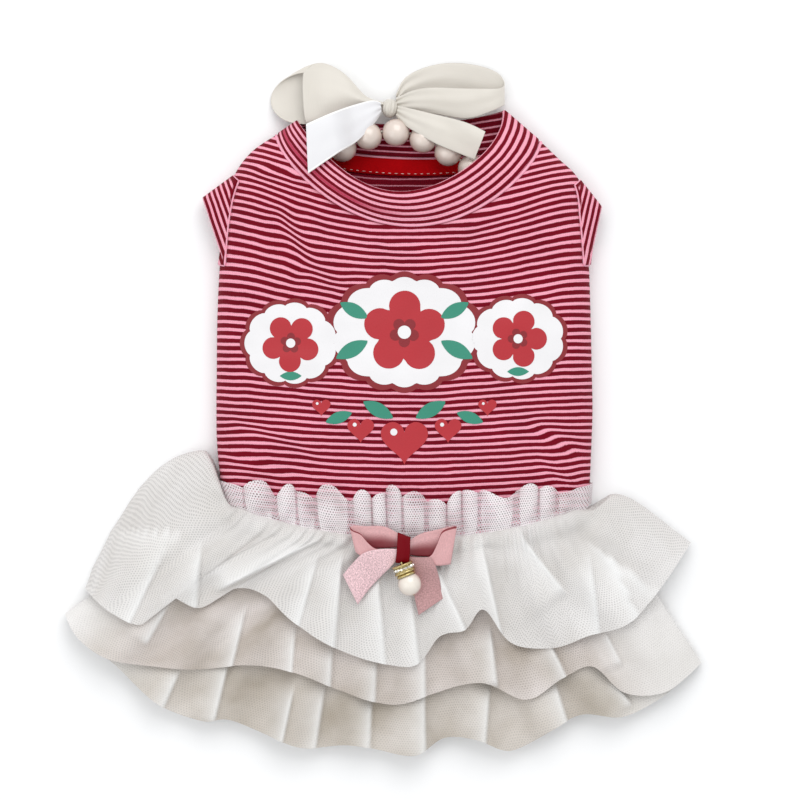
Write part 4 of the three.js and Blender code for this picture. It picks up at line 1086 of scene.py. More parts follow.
class DRESS_OT_print(bpy.types.Operator):
    """Prints the front with badges of flowers, leaves and hearts"""

    bl_idname = "dress.print_front"
    bl_label = "Printed front"

    def execute(self, context):
        cut = cut_now()
        palette = context.scene.dress_colours
        cloth = bpy.data.objects["bodice_jersey"]
        tree = BVHTree.FromObject(cloth, context.evaluated_depsgraph_get())
        origin = cut.origin

        @lru_cache(maxsize=None)
        def surface(x, y):
            hit = tree.ray_cast(Vector((x * MM, y * MM, 0.1)) + origin, Vector((0, 0, -1)))
            if hit[0] is None:
                raise RuntimeError("the printed front reaches past the bodice")
            return hit[0].z / MM

        # Each disc: its ink, place, reach, outline and height over the cloth, and its spokes and rings
        discs = []
        for x, y, wide, tall, lobes in ((2, 77, 33, 25, 14), (-50, 72, 21, 18.5, 11), (54, 74, 21, 18.5, 11)):
            badge = scalloped(lobes, 0.04, wide, tall)
            discs += [("wine", x, y, 1.07, badge, 0.12, 132, 16), ("white", x, y, 0.97, badge, 0.2, 132, 14)]
        for x, y, size, spin in ((2, 77, 19, 0.3), (-50, 72, 13.2, 0.9), (54, 74, 13.2, 0.0)):
            discs += [
                ("red", x, y, size, petals(5, spin), 0.3, 90, 8),
                ("wine_top", x, y, size * 0.36, petals(5, spin + 0.63), 0.37, 60, 4),
                ("white", x, y, size * 0.16, round_dot, 0.44, 24, 3),
            ]
        for x, y, size, tilt in (
            (-22, 69, 8.5, 0.5), (26, 69, 8.5, -0.5), (-21, 87, 7.5, -0.5), (25, 87, 7.5, 0.5),
            (-50, 57, 5.0, 0.0), (54, 59, 5.0, 0.0), (-10, 41.5, 8.0, -0.5), (14, 41.5, 8.0, 0.5),
            (-28, 38, 6.6, 0.35), (32, 38, 6.6, -0.35),
        ):
            discs.append(("green", x, y, size, leaf(tilt), 0.3, 60, 5))
        for x, y, size in ((2, 26.5, 11.5), (-18, 32, 6.5), (22, 32, 6.5), (-36, 42.5, 4.5), (40, 42.5, 4.5)):
            glint = size * 0.42
            discs += [
                ("red", x, y, size, heart(), 0.3, 72, 6),
                ("white", x - glint, y + glint, size * 0.14, round_dot, 0.37, 20, 2),
            ]
        layers = {name: bmesh.new() for name in ("wine", "white", "red", "green", "wine_top")}
        for name, x, y, reach, outline, lift, spokes, rings in discs:
            print_disc(layers[name], (x, y), reach, outline, surface, lift, spokes, rings)
        inks = {
            "wine": palette.ink_wine, "white": palette.ink_white, "red": palette.ink_red,
            "green": palette.ink_green, "wine_top": palette.ink_wine,
        }
        for name, bm in layers.items():
            if sum(face.normal.z for face in bm.faces) < 0:
                bmesh.ops.reverse_faces(bm, faces=bm.faces)
            ink = plastisol(f"Screen print ink {name}", inks[name])
            finish_piece(bm, f"print_{name}", ink, "striped_jersey", origin)
        return {"FINISHED"}


class DRESS_OT_sleeves(bpy.types.Operator):
    """Makes the two short cap sleeves with their seams"""

    bl_idname = "dress.sleeves"
    bl_label = "Sleeves"

    def execute(self, context):
        cut = cut_now()
        palette = context.scene.dress_colours
        pitch = 2.5  # the stripes of a sleeve are narrower, because its jersey isn't stretched
        cloth = jersey("Striped sleeve jersey", palette, pitch, shift=0.8, dark_share=0.56)
        seam_cloth = cotton("Rose seam", palette.rose)
        for hem in SLEEVE_HEMS:
            self.sleeve(cut, hem, cloth, seam_cloth)
        return {"FINISHED"}

    def sleeve(self, cut, hem, cloth, seam_cloth):
        left = hem["side"] == "left"
        columns = 96

        def root_at(s, out):
            turn = 2 * math.pi * s
            c, d = math.cos(turn), math.sin(turn)
            square = max(abs(c), abs(d))
            side, along = c / square, d / square
            reach = abs(side) * ARMHOLE["share"]
            at = reach if left else 1 - reach
            index = (ARMHOLE["bottom"] + ARMHOLE["top"]) / 2 + along
            front = side >= 0
            return cut.bodice(at, front, index) + cut.bodice_normal(at, front, index) * out

        root = [root_at(k / columns, 1.0) for k in range(columns)]
        low = Vector(min(p[a] for p in root) for a in range(3))
        high = Vector(max(p[a] for p in root) for a in range(3))
        middle, half = (low + high) / 2, (high - low) / 2
        tip = Vector((hem["tip_x"] * cut.half_chest, hem["tip_y"] * cut.bodice_length, 0))
        bottom = Vector((hem["low_x"] * cut.half_chest, hem["low_y"] * cut.bodice_length, 0))
        depth = cut.chest_depth * 0.5
        hem_middle = (tip + bottom) / 2
        hem_middle.z = depth / 2 + 0.8
        reach = (tip - bottom) / 2

        def end_of(p):
            along = (p.y - middle.y) / half.y
            up = (p.z - middle.z) / half.z
            ease = quarter(clamp((1 - abs(along)) / 0.35))
            rise = math.copysign(min(abs(up) ** 0.7, max(ease, 0.25)), up)
            return hem_middle + reach * along + Vector((0, 0, rise * depth / 2))

        ends = [end_of(p) for p in root]

        def place(s, t):
            k = round(s * columns) % columns
            point = root[k].lerp(ends[k], t)
            point.z += 0.5 * math.sin(math.pi * t)
            point.z = max(point.z, FLOOR["sleeve"])
            return point

        def flat(s, t):
            away = place(s, t) - bottom
            line = (tip - bottom).normalized()
            return (away.to_2d().dot(line.to_2d()), abs(away.to_2d().cross(line.to_2d())))

        def tag(s, t):
            k = round(s * columns) % columns
            along = (root[k].y - middle.y) / half.y
            return smooth((along - 0.3) / 0.25) * smooth((0.15 - t) / 0.08)

        bm = cloth_sheet(columns, 14, place, flat, ring=True, tag=tag)
        side = hem["side"]
        piece = finish_piece(
            bm, f"sleeve_{side}_jersey", cloth, "striped_jersey", cut.origin, [f"sleeve_{side}"],
            wall=cut.jersey_wall,
        )
        ridge = [root_at((k + 0.5) / columns, 0.85) for k in range(columns)]
        for p in ridge:
            p.z = max(p.z, FLOOR["sleeve_seam"])
        welt = tube(ridge, 0.62, sides=8, closed=True)
        finish_piece(welt, f"sleeve_{side}_seam", seam_cloth, "striped_jersey", cut.origin)


class DRESS_OT_collar(bpy.types.Operator):
    """Makes the striped stand collar, its seam, and the bound tape inside the neck"""

    bl_idname = "dress.collar"
    bl_label = "Collar and neck tape"

    def execute(self, context):
        cut = cut_now()
        palette = context.scene.dress_colours

        def place(s, t):
            at, front = even_ring(s)
            return cut.collar(0.5 - 0.5 * math.cos(math.pi * at), front, t)

        def flat(s, t):
            """The collar cut flat: 230 mm round and 15.6 mm from its seam to its rim."""
            return (s * 230, t * 15.6)

        bm = cloth_sheet(220, 14, place, flat, ring=True)
        # The back half of the collar shows its thin rose lines, and a bright course runs over the left front
        cloth = jersey(
            "Striped collar jersey", palette, 2.75, shift=1.55, dark_share=0.52, inner=(116, -10),
            band=(6.1, 1.6, 42, 60),
        )
        piece = finish_piece(
            bm, "collar_jersey", cloth, "striped_jersey", cut.origin, ["collar"],
            wall=cut.collar_wall, rounds=1,
        )

        seam = []
        seam_spots = 150
        for k in range(seam_spots):
            at, front = even_ring(k / seam_spots)
            at = 0.5 - 0.5 * math.cos(math.pi * at)
            point = cut.bodice(at, front, NECK_ROW)
            point += cut.bodice_normal(at, front, NECK_ROW - 0.02) * 0.5
            point.z = max(point.z, FLOOR["neck_seam"])
            seam.append(point)
        rose = cotton("Rose neck seam", palette.rose)
        welt = tube(seam, 0.72, sides=8, closed=True)
        finish_piece(welt, "collar_seam", rose, "striped_jersey", cut.origin)

        def inside(at, index, out):
            """A place on the inner face of the back, past half a jersey, half a tape and a little air."""
            depth = HALF_JERSEY + 0.3 + 0.35 + out
            return cut.bodice(at, False, index) - cut.bodice_normal(at, False, index) * depth

        # The tape runs between two rows of the bodice's table, just below the neck seam
        tape_low, tape_high, stitch_row = 8.3, 8.94, 8.37

        def tape_place(s, t):
            return inside(lerp(0.9, 0.1, s), lerp(tape_low, tape_high, t), 0)

        bm = cloth_sheet(120, 6, tape_place, lambda s, t: (s * 95, t * 8))
        binding = cotton("Wine cotton tape", palette.binding)
        tape = finish_piece(
            bm, "neck_tape_binding", binding, "red_cotton", cut.origin, ["neck_tape"], wall=0.7,
        )
        row = stitches(lambda at: inside(at, stitch_row, 0.42), 0.13, 0.87, 34, 0.004, (1.7, 0.42))
        thread = cotton("White sewing thread", from_hex("f2c9c4"))
        finish_piece(row, "neck_tape_stitches", thread, "thread", cut.origin)
        return {"FINISHED"}


class DRESS_OT_net_skirt(bpy.types.Operator):
    """Makes the three gathered tiers of net"""

    bl_idname = "dress.net_skirt"
    bl_label = "Net skirt"

    def execute(self, context):
        cut = cut_now()
        palette = context.scene.dress_colours
        looks = {
            # The middle and lower tiers' colours are the white net painted darker: painted shade
            "skirt_tier_upper": (palette.net_upper, 0.72, 0.94, (0.66, 0.058), 0.3),
            "skirt_tier_middle": (palette.net_middle, 0.76, 0.95, (0.72, 0.07), 0.95),
            "skirt_tier_lower": (palette.net_lower, 0.8, 0.96, (0.74, 0.08), 0.95),
        }
        for tier in TIERS:
            self.tier(cut, tier, *looks[tier["name"]])
        return {"FINISHED"}

    def tier(self, cut, tier, shade, hole, thread, cut_size, mottle):
        front_share = 0.74  # of the columns, because only the front is seen

        def spot(s):
            if s <= front_share:
                return s / front_share, True
            return 1 - (s - front_share) / (1 - front_share), False

        def spaced(at):
            edge = 0.06
            if at < edge:
                return edge * (at / edge) ** 1.6
            if at > 1 - edge:
                return 1 - edge * ((1 - at) / edge) ** 1.6
            return at

        @lru_cache(maxsize=None)
        def shaped(s, t):
            at, front = spot(s)
            at = spaced(at)
            point = cut.tier(tier, at, front, t)
            if not front:
                return point, 0.0
            calm = inward(at, 0.05)
            uneven = 0.9 * math.sin(9 * at + tier["under"]) + 0.5 * math.sin(23 * at)
            phase = 2 * math.pi * (tier["pleats"] * at + uneven)
            patch = 0.6 + 0.8 * noise.noise(Vector((at * 14, t * 2, tier["under"] * 3.7)))
            gather = math.exp(-t / 0.32) * smooth(t / 0.03) * patch
            rise, doubled = cut.laps(tier, point.x, point.y)
            point.z += calm * (1.5 * gather * math.sin(phase) + smooth(t / 0.16) * rise)
            limp = noise.noise(Vector((point.x / 13, point.y / 26, tier["under"] * 7.3)))
            point.z += calm * smooth(t / 0.3) * 1.3 * limp
            if not tier["under"]:
                # The upper tier's seam stands up to the heading, with its root tucked under
                point.y += 2.6 * calm * (1 - smooth(t / 0.1))
                ridge = math.exp(-(((t - 0.07) / 0.05) ** 2))
                point.z += 1.5 * calm * (1 - smooth(t / 0.2)) + 1.3 * calm * ridge
                point.z -= 1.9 * calm * (1 - smooth(t / 0.035))
            point.z = max(point.z, FLOOR["net"])
            ends = 0.8 * (1 - inward(at, 0.17)) if tier["under"] else 0.0
            return point, max(calm * doubled, ends)

        def place(s, t):
            return shaped(s, t)[0]

        def tag(s, t):
            return shaped(s, t)[1]

        columns, rows = 500, 60
        bm = cloth_sheet(columns, rows, place, unrolled(place, columns, rows, 0.8), ring=True, tag=tag)
        layer = tier["name"].removeprefix("skirt_tier_")
        cloth = net(f"Nylon net {layer}", shade, cut.net_pitch, hole, thread, mottle=mottle)
        piece = finish_piece(bm, f"{tier['name']}_net", cloth, "net", cut.origin, [tier["name"]])
        below = [f"{t['name']}_net" for t in TIERS[tier["under"] + 1:]]


class DRESS_OT_heading(bpy.types.Operator):
    """Makes the gathered net heading that stands over the waist, with its gathering stitches"""

    bl_idname = "dress.heading"
    bl_label = "Heading"

    def execute(self, context):
        cut = cut_now()
        palette = context.scene.dress_colours

        end = 0.035  # share of the front beside each side fold that isn't gathered

        def fold_turn(at):
            """Turn of the gathers' wave, which is uneven."""
            uneven = 2.1 * math.sin(11 * at + 0.5) + 1.5 * math.sin(29 * at)
            return 2 * math.pi * cut.ruffle_folds * (at - end) / (1 - 2 * end) + uneven

        def ruffle(at, front, t, out=0.0):
            inside = front and end < at < 1 - end
            turn = fold_turn(at)
            calm = smooth((min(at, 1 - at) - end) / 0.04) if inside else 0
            wave = calm * (0.5 - 0.5 * math.cos(turn))
            ragged = calm * noise.noise(Vector((at * 21, 0.4, 6.6)))
            full = lerp(0.46, 0.66 if front else 0.5, math.sin(math.pi * at))
            index = 0.03 + t * full * (0.96 + 0.12 * wave + 0.34 * ragged) * (cut.ruffle_height / 20)
            away = 1.65 + cut.ruffle_wave * (0.35 + 0.65 * t) * wave * smooth(t * 2.2) + out
            away += 0.3 * t if front else 0
            point = cut.bodice(at, front, index) + cut.bodice_normal(at, front, index) * away
            point.x -= calm * 0.95 * smooth(t * 1.6) * math.sin(turn)
            point.y -= 2.4 * (1 - smooth(t / 0.15)) * inward(at, 0.03) if front else 0
            point.z = max(point.z, FLOOR["heading"])
            return point

        front_share = 0.8  # of the columns, because only the front is seen

        @lru_cache(maxsize=None)
        def place(s, t):
            if s <= front_share:
                return ruffle(s / front_share, True, t)
            return ruffle(clamp(1 - (s - front_share) / (1 - front_share)), False, t)

        def gathered(s, t):
            """Where the gathers lie doubled: all but the slits between them."""
            at = s / front_share
            if not 0.06 < at < 0.94:
                return 0.45
            patch = 0.72 + 1.1 * noise.noise(Vector((at * 27, t * 1.5, 3.1)))
            return clamp(patch) * smooth((0.5 - 0.5 * math.cos(fold_turn(at)) - 0.12) / 0.2)

        columns, rows = 640, 18
        bm = cloth_sheet(columns, rows, place, unrolled(place, columns, rows, 0.75), ring=True, tag=gathered)
        cloth = net(
            "Nylon net heading", palette.heading, cut.net_pitch, 0.04, 0.72, dot=0.03, lap=0.36, bleach=0.45,
        )
        piece = finish_piece(bm, "waist_heading_net", cloth, "net", cut.origin, ["waist_ruffle"])
        stitch_level = 0.22  # share of the heading's height at which it was gathered
        row = stitches(lambda at: ruffle(at, True, stitch_level, 0.25), 0.03, 0.97, 118, 0.003, (1.3, 0.36))
        thread = cotton("White gathering thread", from_hex("f6f2f2"))
        finish_piece(row, "heading_stitches", thread, "thread", cut.origin)
        return {"FINISHED"}


def drilled_bead(radius, hole, mouth, depth, rings):
    """Half outline of a round bead, from its hole at one end, over its side, to its hole at the other."""
    start = math.asin(hole / radius)
    turns = [lerp(start, math.pi - start, k / rings) for k in range(rings + 1)]
    side = [(radius * math.sin(turn), -radius * math.cos(turn)) for turn in turns]
    return [(mouth, side[0][1] + depth), *side, (mouth, side[-1][1] - depth)]


class DRESS_OT_pearls(bpy.types.Operator):
    """Strings the neck pearls along the far side of the collar"""

    bl_idname = "dress.pearls"
    bl_label = "Neck pearls"

    def execute(self, context):
        cut = cut_now()
        palette = context.scene.dress_colours
        lustre = pearl_lustre("Pearl acrylic", palette.pearl)
        knots = cut.strand_knots()
        profile = drilled_bead(cut.pearl_diameter / 2, hole=1.0, mouth=0.6, depth=0.9, rings=18)
        for k, (a, b) in enumerate(zip(knots, knots[1:])):
            bm = turned(profile, (a + b) / 2, b - a, steps=36)
            finish_piece(bm, f"neck_pearl_bead_{k + 1}", lustre, "pearl", cut.origin, [f"neck_pearl_{k + 1}"])
        spare = 1.6  # thread that stands out of the first and the last pearl
        first = knots[0] + (knots[0] - knots[1]).normalized() * spare
        last = knots[-1] + (knots[-1] - knots[-2]).normalized() * spare
        line = [curve_point([first, *knots, last], k / 60) for k in range(61)]
        thread = cotton("Waxed bead thread", from_hex("ece4da"))
        cord = tube(line, 0.45, sides=8)
        finish_piece(cord, "neck_pearl_cord", thread, "thread", cut.origin, ["neck_pearl_thread"])
        return {"FINISHED"}


# Ribbons lie through stations from end to end. Each station is the ribbon's two edges there, each with its
# place in pixels of the picture and its height in millimetres
NECK_RIBBONS = {
    "right_loop": (
        (396, 98, 7.5, 396, 109, 7), (412, 91, 9.5, 412, 111, 9.5), (430, 88, 11, 434, 114, 11),
        (459, 88.5, 11.5, 466, 119, 11.5), (484, 89, 11, 490, 112, 11), (500, 88, 9, 502, 106, 9),
        (504.5, 82, 6, 504.5, 104, 6), (498, 71.5, 3.6, 499, 102, 3.6), (478, 64, 3, 478, 99, 3),
        (450, 61.5, 3, 450, 97, 3), (425, 66, 3.2, 428, 97, 3), (405, 77, 4, 410, 100, 3.6),
        (396, 94, 5, 397, 105, 4.6),
    ),
    "left_tail": (
        (381, 103, 9.4, 381, 113, 9), (372, 101, 12, 374, 124, 13), (352, 107, 17, 357, 143, 18.5),
        (334, 115, 25.6, 338, 156, 25.8), (307, 127, 25.9, 309, 176, 25.9),
    ),
    "right_tail": (
        (398, 106, 9.4, 396, 116, 9), (413, 110, 14, 408, 128, 14), (440, 117, 17.2, 436, 145, 17.2),
        (466, 124, 17.4, 462, 156, 17.2), (485, 133, 17.6, 474, 161, 17.2),
    ),
}
# Four lines from the knot to the end of the left loop: its upper and lower fold, near face and far face
LEFT_LOOP = {
    "top": ((384, 102, 6.5), (366, 96, 8), (346, 75, 8), (328, 64, 7), (314, 63.5, 6), (304, 72, 6)),
    "low": (
        (384, 106, 6.5), (366, 108, 8), (346, 113, 9.5), (330, 117, 10.8), (318, 121, 11.4), (307, 124, 11.6),
    ),
    "near": ((384, 104, 8), (366, 102, 10), (346, 97, 11.5), (328, 96, 12), (314, 97, 11.5), (303, 99, 10.8)),
    "far": ((384, 104, 5), (362, 100, 4), (336, 94, 3), (308, 92, 2.4), (288, 95, 2.0), (270, 100, 2.0)),
}
# The waist bow's heights are measured from its own lowest point
WAIST_RIBBONS = {
    "left_loop": (
        (398, 532, 2.5, 398, 546, 2.5), (384, 525.5, 1, 384, 547, 1), (366, 525.2, 1, 367, 547, 1),
        (355, 524.5, 1.4, 358, 547, 1.4), (350.5, 526, 2.6, 356, 550, 2.6), (353.5, 529, 3.9, 361, 554, 3.9),
        (361, 532.5, 4.2, 367, 556, 4.2), (368, 541, 4.2, 375, 558, 4.2), (377, 547, 4, 384, 560, 3.8),
        (398, 547, 3.4, 398, 559, 3.2),
    ),
    "right_loop": (
        (407, 541, 2.5, 407, 553, 2.5), (420, 533, 1, 418, 555, 1), (437, 528.5, 1, 436, 556, 1),
        (450, 525.5, 1.4, 446, 558, 1.4), (456, 525.2, 2.7, 450, 562, 2.7),
        (452.5, 525.6, 3.9, 447.5, 563, 3.9), (442, 530, 4.2, 440, 564, 4.2), (437, 542, 4.2, 434, 564, 4.2),
        (431, 553.5, 4.2, 427, 566, 4.2), (421, 556.2, 3.8, 418, 566, 3.6), (407, 554, 3.4, 407, 562, 3.2),
    ),
    "left_tail": (
        (398, 547.5, 4.7, 397, 558, 4.6), (380, 547.5, 5.1, 390, 566, 4.8), (364, 551.5, 5.1, 381, 575, 2.4),
        (352, 563, 2.4, 369, 588, 1), (343.5, 573.5, 1, 358, 603, 0.7),
    ),
    "right_tail": (
        (407, 556, 4.4, 431, 555.5, 4.7), (409, 566, 3.2, 435.5, 565, 4.6), (412, 580, 1.4, 438.8, 576, 2.6),
        (414.5, 596, 0.9, 441, 588, 1.2), (418.5, 613.5, 0.7, 442.5, 597, 0.8),
    ),
    "wrap": (
        (397.5, 532, 0.6, 410.5, 537, 0.6), (397.8, 531.5, 4.7, 410.6, 536.5, 4.7),
        (397.6, 534, 5.9, 410.2, 539, 5.9), (397, 546, 6.1, 410, 548, 6.1), (396, 557, 5.8, 409.4, 558, 5.8),
        (395.6, 561, 4.3, 409, 561, 4.3), (396, 560.5, 0.6, 409, 560.5, 0.6),
    ),
}


def ribbon(cut, name, node, stations, width, material, slot_name, rests, base=0.0, columns=60, rows=14,
           curl=0.3, wall=None, cut_size=None, ends=(1, 0), gathers=0.0):
    """A ribbon laid through its stations, crowned by curl and gathered where an end of it is tied."""
    upper = [photo(x, y, base + z) for x, y, z, *_ in stations]
    lower = [photo(x, y, base + z) for *_, x, y, z in stations]
    middles = [(a + b) / 2 for a, b in zip(upper, lower)]
    total = sum((a - b).length for a, b in zip(middles, middles[1:]))
    pinch_reach = 9
    pleats = 2.6

    def place(s, t):
        point = curve_point(upper, s).lerp(curve_point(lower, s), t)
        pinch = sum(end * math.exp(-away * total / pinch_reach) for end, away in zip(ends, (s, 1 - s)))
        point.z += curl * math.sin(math.pi * t) + gathers * pinch * math.sin(2 * math.pi * pleats * t + 0.6)
        point.z += 0.5 * noise.noise(Vector((s * total / 12, t * 2.1, 4.4 + width)))
        return point

    bm = cloth_sheet(columns, rows, place, lambda s, t: (s * total, (t - 0.5) * width))
    piece = finish_piece(bm, name, material, slot_name, cut.origin, [node], wall=wall or cut.ribbon_wall)
    cut_size or (total * MM, width * MM)
    list(rests)


class DRESS_OT_neck_bow(bpy.types.Operator):
    """Ties the ivory satin bow at the far side of the neck"""

    bl_idname = "dress.neck_bow"
    bl_label = "Neck bow"

    def execute(self, context):
        cut = cut_now()
        palette = context.scene.dress_colours
        cloth = satin("Ivory satin ribbon", palette.ivory, 22, from_hex("fffdf6"))
        # The left tail is a lighter, whiter copy of the same ivory satin: painted light
        bright = satin("Ivory satin tail", from_hex("e6e5e7"), 17, from_hex("fbfaf8"))
        self.left_loop(cut, cloth)
        tail = {"columns": 90, "gathers": 0.6}
        for side, part, width, satin_used, settings in (
            ("right", "loop", 17.4, cloth, {"columns": 150, "curl": 0.4, "gathers": 0.7, "ends": (1, 1)}),
            ("left", "tail", 17.4, bright, {**tail, "curl": 0.5}),
            ("right", "tail", 15.5, cloth, {**tail, "curl": 0.7}),
        ):
            stations = NECK_RIBBONS[f"{side}_{part}"]
            ribbon(
                cut, f"neck_bow_{side}_{part}", f"neck_bow_{part}_{side}", stations, width, satin_used,
                "ivory_satin", ["collar_jersey"], rows=24, **settings,
            )
        self.knot(cut, palette)
        return {"FINISHED"}

    def left_loop(self, cut, cloth):
        names = ("top", "low", "near", "far")
        top, low, near, far = ([photo(*spot) for spot in LEFT_LOOP[name]] for name in names)

        def place(s, t):
            turn = 2 * math.pi * s
            fold_top, fold_low = curve_point(top, t), curve_point(low, t)
            middle = (fold_top + fold_low) / 2
            point = middle + (fold_top - fold_low) / 2 * math.cos(turn)
            lean = math.sin(turn)
            point += (curve_point(near, t) - middle) * max(lean, 0)
            point += (curve_point(far, t) - middle) * max(-lean, 0)
            point.z += 0.5 * noise.noise(Vector((s * 7, t * 3, 9.1)))
            point.z += 0.8 * math.exp(-t / 0.3) * math.sin(10 * math.pi * s) * lean
            return point

        bm = cloth_sheet(120, 44, place, lambda s, t: (s * 100, (t - 0.5) * 17.4), ring=True)
        piece = finish_piece(
            bm, "neck_bow_left_loop", cloth, "ivory_satin", cut.origin, ["neck_bow_loop_left"],
            wall=cut.ribbon_wall,
        )

    def knot(self, cut, palette):
        cloth = satin("Ivory satin knot", palette.ivory, 12, from_hex("efe6d2"), edge=0.3)
        bm = bmesh.new()
        bmesh.ops.create_uvsphere(bm, u_segments=40, v_segments=24, radius=1)
        uv = bm.loops.layers.uv.new("cloth")
        for face in bm.faces:
            for loop in face.loops:
                co = loop.vert.co
                loop[uv].uv = (co.y * 8, co.x * 5)
        centre = photo(390, 107.5, 6.3)
        half = Vector((3.7, 4.6, 5.3))
        for v in bm.verts:
            co = v.co.copy()
            pleat = 1 + 0.07 * math.sin(13 * math.atan2(co.z, co.x) + 3 * co.y)
            square = 1 / max(0.75, abs(co.y) ** 0.5 + 0.25)
            v.co = centre + half * Vector((co.x * pleat, co.y * square ** 0.2, co.z * pleat))
        finish_piece(bm, "neck_bow_wrap", cloth, "ivory_satin", cut.origin, ["neck_bow_knot"])


class DRESS_OT_waist_bow(bpy.types.Operator):
    """Ties the blush satin bow at the centre of the waist"""

    bl_idname = "dress.waist_bow"
    bl_label = "Waist bow"

    def execute(self, context):
        cut = cut_now()
        palette = context.scene.dress_colours
        glitter, dusky, deep_wine = (from_hex(code) for code in ("e0bdc1", "b98d8d", "72000f"))
        # Low down inside each loop the far half is painted wine: painted shade
        looped = satin("Blush satin ribbon", palette.blush, 10, palette.wine, painted_glints=0.12, turn_at=20)
        left_tail = satin("Glittered blush satin", glitter, 11, glitter, edge=0.1, painted_glints=0.38)
        right_tail = satin("Dusky blush satin", dusky, 11, dusky, edge=0.1, painted_glints=0.3)
        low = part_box("waist_bow_loop_left")[0].z / MM
        loop = {"rests": ["waist_heading_net"], "columns": 120, "curl": 0.2}
        tail = {"rests": ["skirt_tier_upper_net"]}
        for side, part, width, cloth, settings in (
            ("left", "loop", 10, looped, loop), ("right", "loop", 10, looped, loop),
            ("left", "tail", 11, left_tail, tail), ("right", "tail", 11, right_tail, tail),
        ):
            stations = WAIST_RIBBONS[f"{side}_{part}"]
            ribbon(
                cut, f"waist_bow_{side}_{part}", f"waist_bow_{part}_{side}", stations, width, cloth,
                "pink_satin", base=low, **settings,
            )
        matt = satin("Wine satin band", deep_wine, 40, deep_wine, roughness=0.5, sheen=0.0, gloss=0.12)
        ribbon(
            cut, "waist_bow_wrap", "waist_bow_band", WAIST_RIBBONS["wrap"], 6, matt, "red_satin",
            ["waist_heading_net"], base=low, rows=10, curl=0.25, wall=0.5, cut_size=(0.018, 0.01),
        )
        return {"FINISHED"}


def middle_of(node, origin):
    """The middle of a node's box, in millimetres on the dress."""
    low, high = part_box(node)
    middle = (low + high) / 2
    return Vector((*((middle - origin) / MM).to_2d(), middle.z / MM))


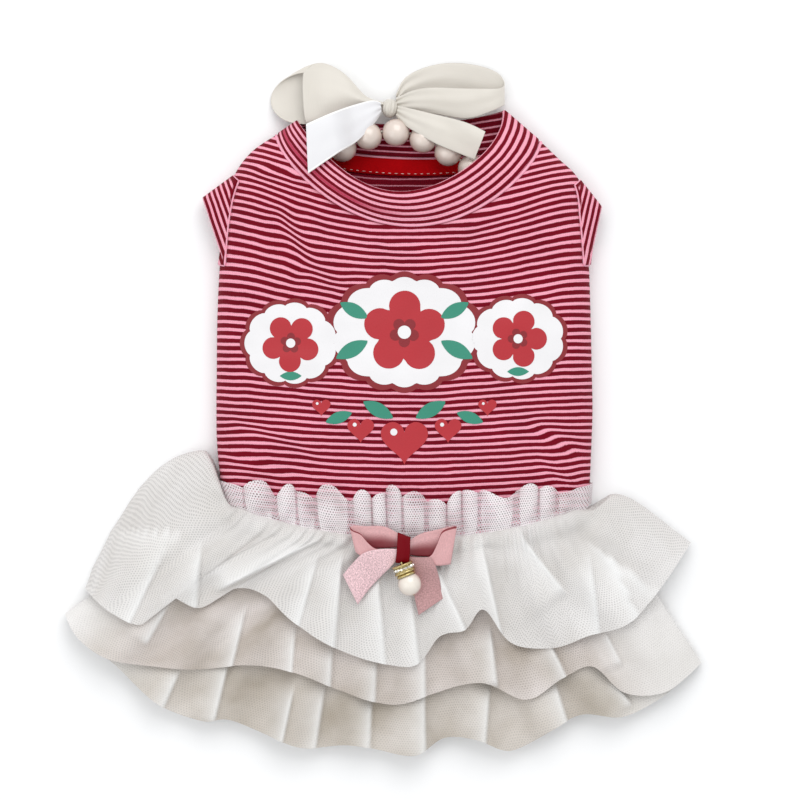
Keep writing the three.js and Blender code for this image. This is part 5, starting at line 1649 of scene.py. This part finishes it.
class DRESS_OT_drop(bpy.types.Operator):
    """Hangs the small drop of the waist bow: a gold rondelle with clear stones, a pearl and its pin"""

    bl_idname = "dress.drop"
    bl_label = "Drop"

    def execute(self, context):
        cut = cut_now()
        palette = context.scene.dress_colours
        gold = plated_gold("Gold plate", palette.gold)
        centre = middle_of("pendant_rondelle", cut.origin)
        axis = Vector((0.36, -0.93, 0)).normalized()
        half, ring = cut.rondelle_length / 2, cut.rondelle_diameter / 2
        # Each rim of the ring, from its bore over its bead to the groove between the rims
        lip = ((ring - 1.5, 0), (ring - 0.5, 0.1), (ring - 0.25, 0.55), (ring - 0.6, 1.0), (ring - 1.2, 1.15))
        profile = [(1.0, -half), *((r, inset - half) for r, inset in lip)]
        profile += [(r, half - inset) for r, inset in reversed(lip)]
        profile += [(2.7, half), (1.0, half - 1.0), (1.0, -half)]
        rondelle = turned(profile, centre, axis, steps=48)
        finish_piece(rondelle, "drop_rondelle", gold, "gold_metal", cut.origin, ["pendant_rondelle"])

        stones = bmesh.new()
        place = Matrix.Translation(centre) @ axis.to_track_quat("Z", "Y").to_matrix().to_4x4()
        seat = Matrix.Translation((ring - 1.0, 0, 0)) @ Matrix.Rotation(math.pi / 2, 4, "Y")
        count = 14
        for k in range(count):
            turn = Matrix.Rotation(2 * math.pi * k / count, 4, "Z")
            bmesh.ops.create_cone(
                stones, cap_ends=True, segments=8, radius1=1.0, radius2=0.55, depth=0.9,
                matrix=place @ turn @ seat @ Matrix.Translation((0, 0, 0.25)),
            )
        # The stones' light and dark flashes are painted reflections
        glass = cut_glass("Foiled glass stones", from_hex("b8ad90"), from_hex("ffffff"))
        piece = finish_piece(stones, "drop_stones", glass, "gold_metal", cut.origin)
        for face in piece.data.polygons:
            face.use_smooth = False

        bead = drilled_bead(cut.drop_pearl / 2, hole=0.9, mouth=0.55, depth=0.8, rings=20)
        pearl = turned(bead, middle_of("pendant_pearl", cut.origin), axis, steps=40)
        lustre = pearl_lustre("Cream pearl acrylic", from_hex("f3ebdf"))
        finish_piece(pearl, "drop_pearl", lustre, "pearl", cut.origin, ["pendant_pearl"])
        # The cup's radii, and how far past the rondelle's end each stands
        cup = (
            (1.0, -0.6), (3.4, -0.2), (4.3, 0.5), (4.55, 1.3), (4.35, 1.35), (4.0, 0.7), (3.2, 0.1),
            (1.0, -0.3), (1.0, -0.6),
        )
        cup = turned([(r, half + past) for r, past in cup], centre, axis, steps=40)
        finish_piece(cup, "drop_cup", gold, "gold_metal", cut.origin)
        line = [centre + axis * (-half - 0.9), centre, centre + axis * (half + cut.drop_pearl)]
        pin = tube([curve_point(line, k / 12) for k in range(13)], 0.45, sides=10)
        finish_piece(pin, "drop_pin", gold, "gold_metal", cut.origin, ["pendant_pin"])
        return {"FINISHED"}


OPERATORS = (
    DRESS_OT_stage, DRESS_OT_net_skirt, DRESS_OT_bodice, DRESS_OT_print, DRESS_OT_sleeves, DRESS_OT_collar,
    DRESS_OT_heading, DRESS_OT_pearls, DRESS_OT_neck_bow, DRESS_OT_waist_bow, DRESS_OT_drop,
)


class DRESS_PT_panel(bpy.types.Panel):
    bl_idname = "DRESS_PT_panel"
    bl_label = "Dog Dress"
    bl_space_type = "VIEW_3D"
    bl_region_type = "UI"
    bl_category = "Dress"

    def draw(self, context):
        column = self.layout.column()
        for name in DressSizes.__annotations__:
            column.prop(context.scene.dress_sizes, name)
        for name in DressColours.__annotations__:
            column.prop(context.scene.dress_colours, name)
        for operator in OPERATORS:
            column.operator(operator.bl_idname)


CLASSES = (DressSizes, DressColours, *OPERATORS, DRESS_PT_panel)


def register():
    for item in CLASSES:
        bpy.utils.register_class(item)
    bpy.types.Scene.dress_sizes = PointerProperty(type=DressSizes)
    bpy.types.Scene.dress_colours = PointerProperty(type=DressColours)


def unregister():
    del bpy.types.Scene.dress_colours
    del bpy.types.Scene.dress_sizes
    for item in reversed(CLASSES):
        bpy.utils.unregister_class(item)


def main():
    register()
    bpy.ops.dress.stage()
    bpy.ops.dress.bodice()
    bpy.ops.dress.print_front()
    bpy.ops.dress.sleeves()
    bpy.ops.dress.collar()
    bpy.ops.dress.net_skirt()
    bpy.ops.dress.heading()
    bpy.ops.dress.pearls()
    bpy.ops.dress.neck_bow()
    bpy.ops.dress.waist_bow()
    bpy.ops.dress.drop()
    boxes = {"cad": cad_bounds, "visual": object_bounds()}
    {name: [list(corner) for corner in box] for name, box in boxes.items()}


if __name__ == "__main__":
    main()
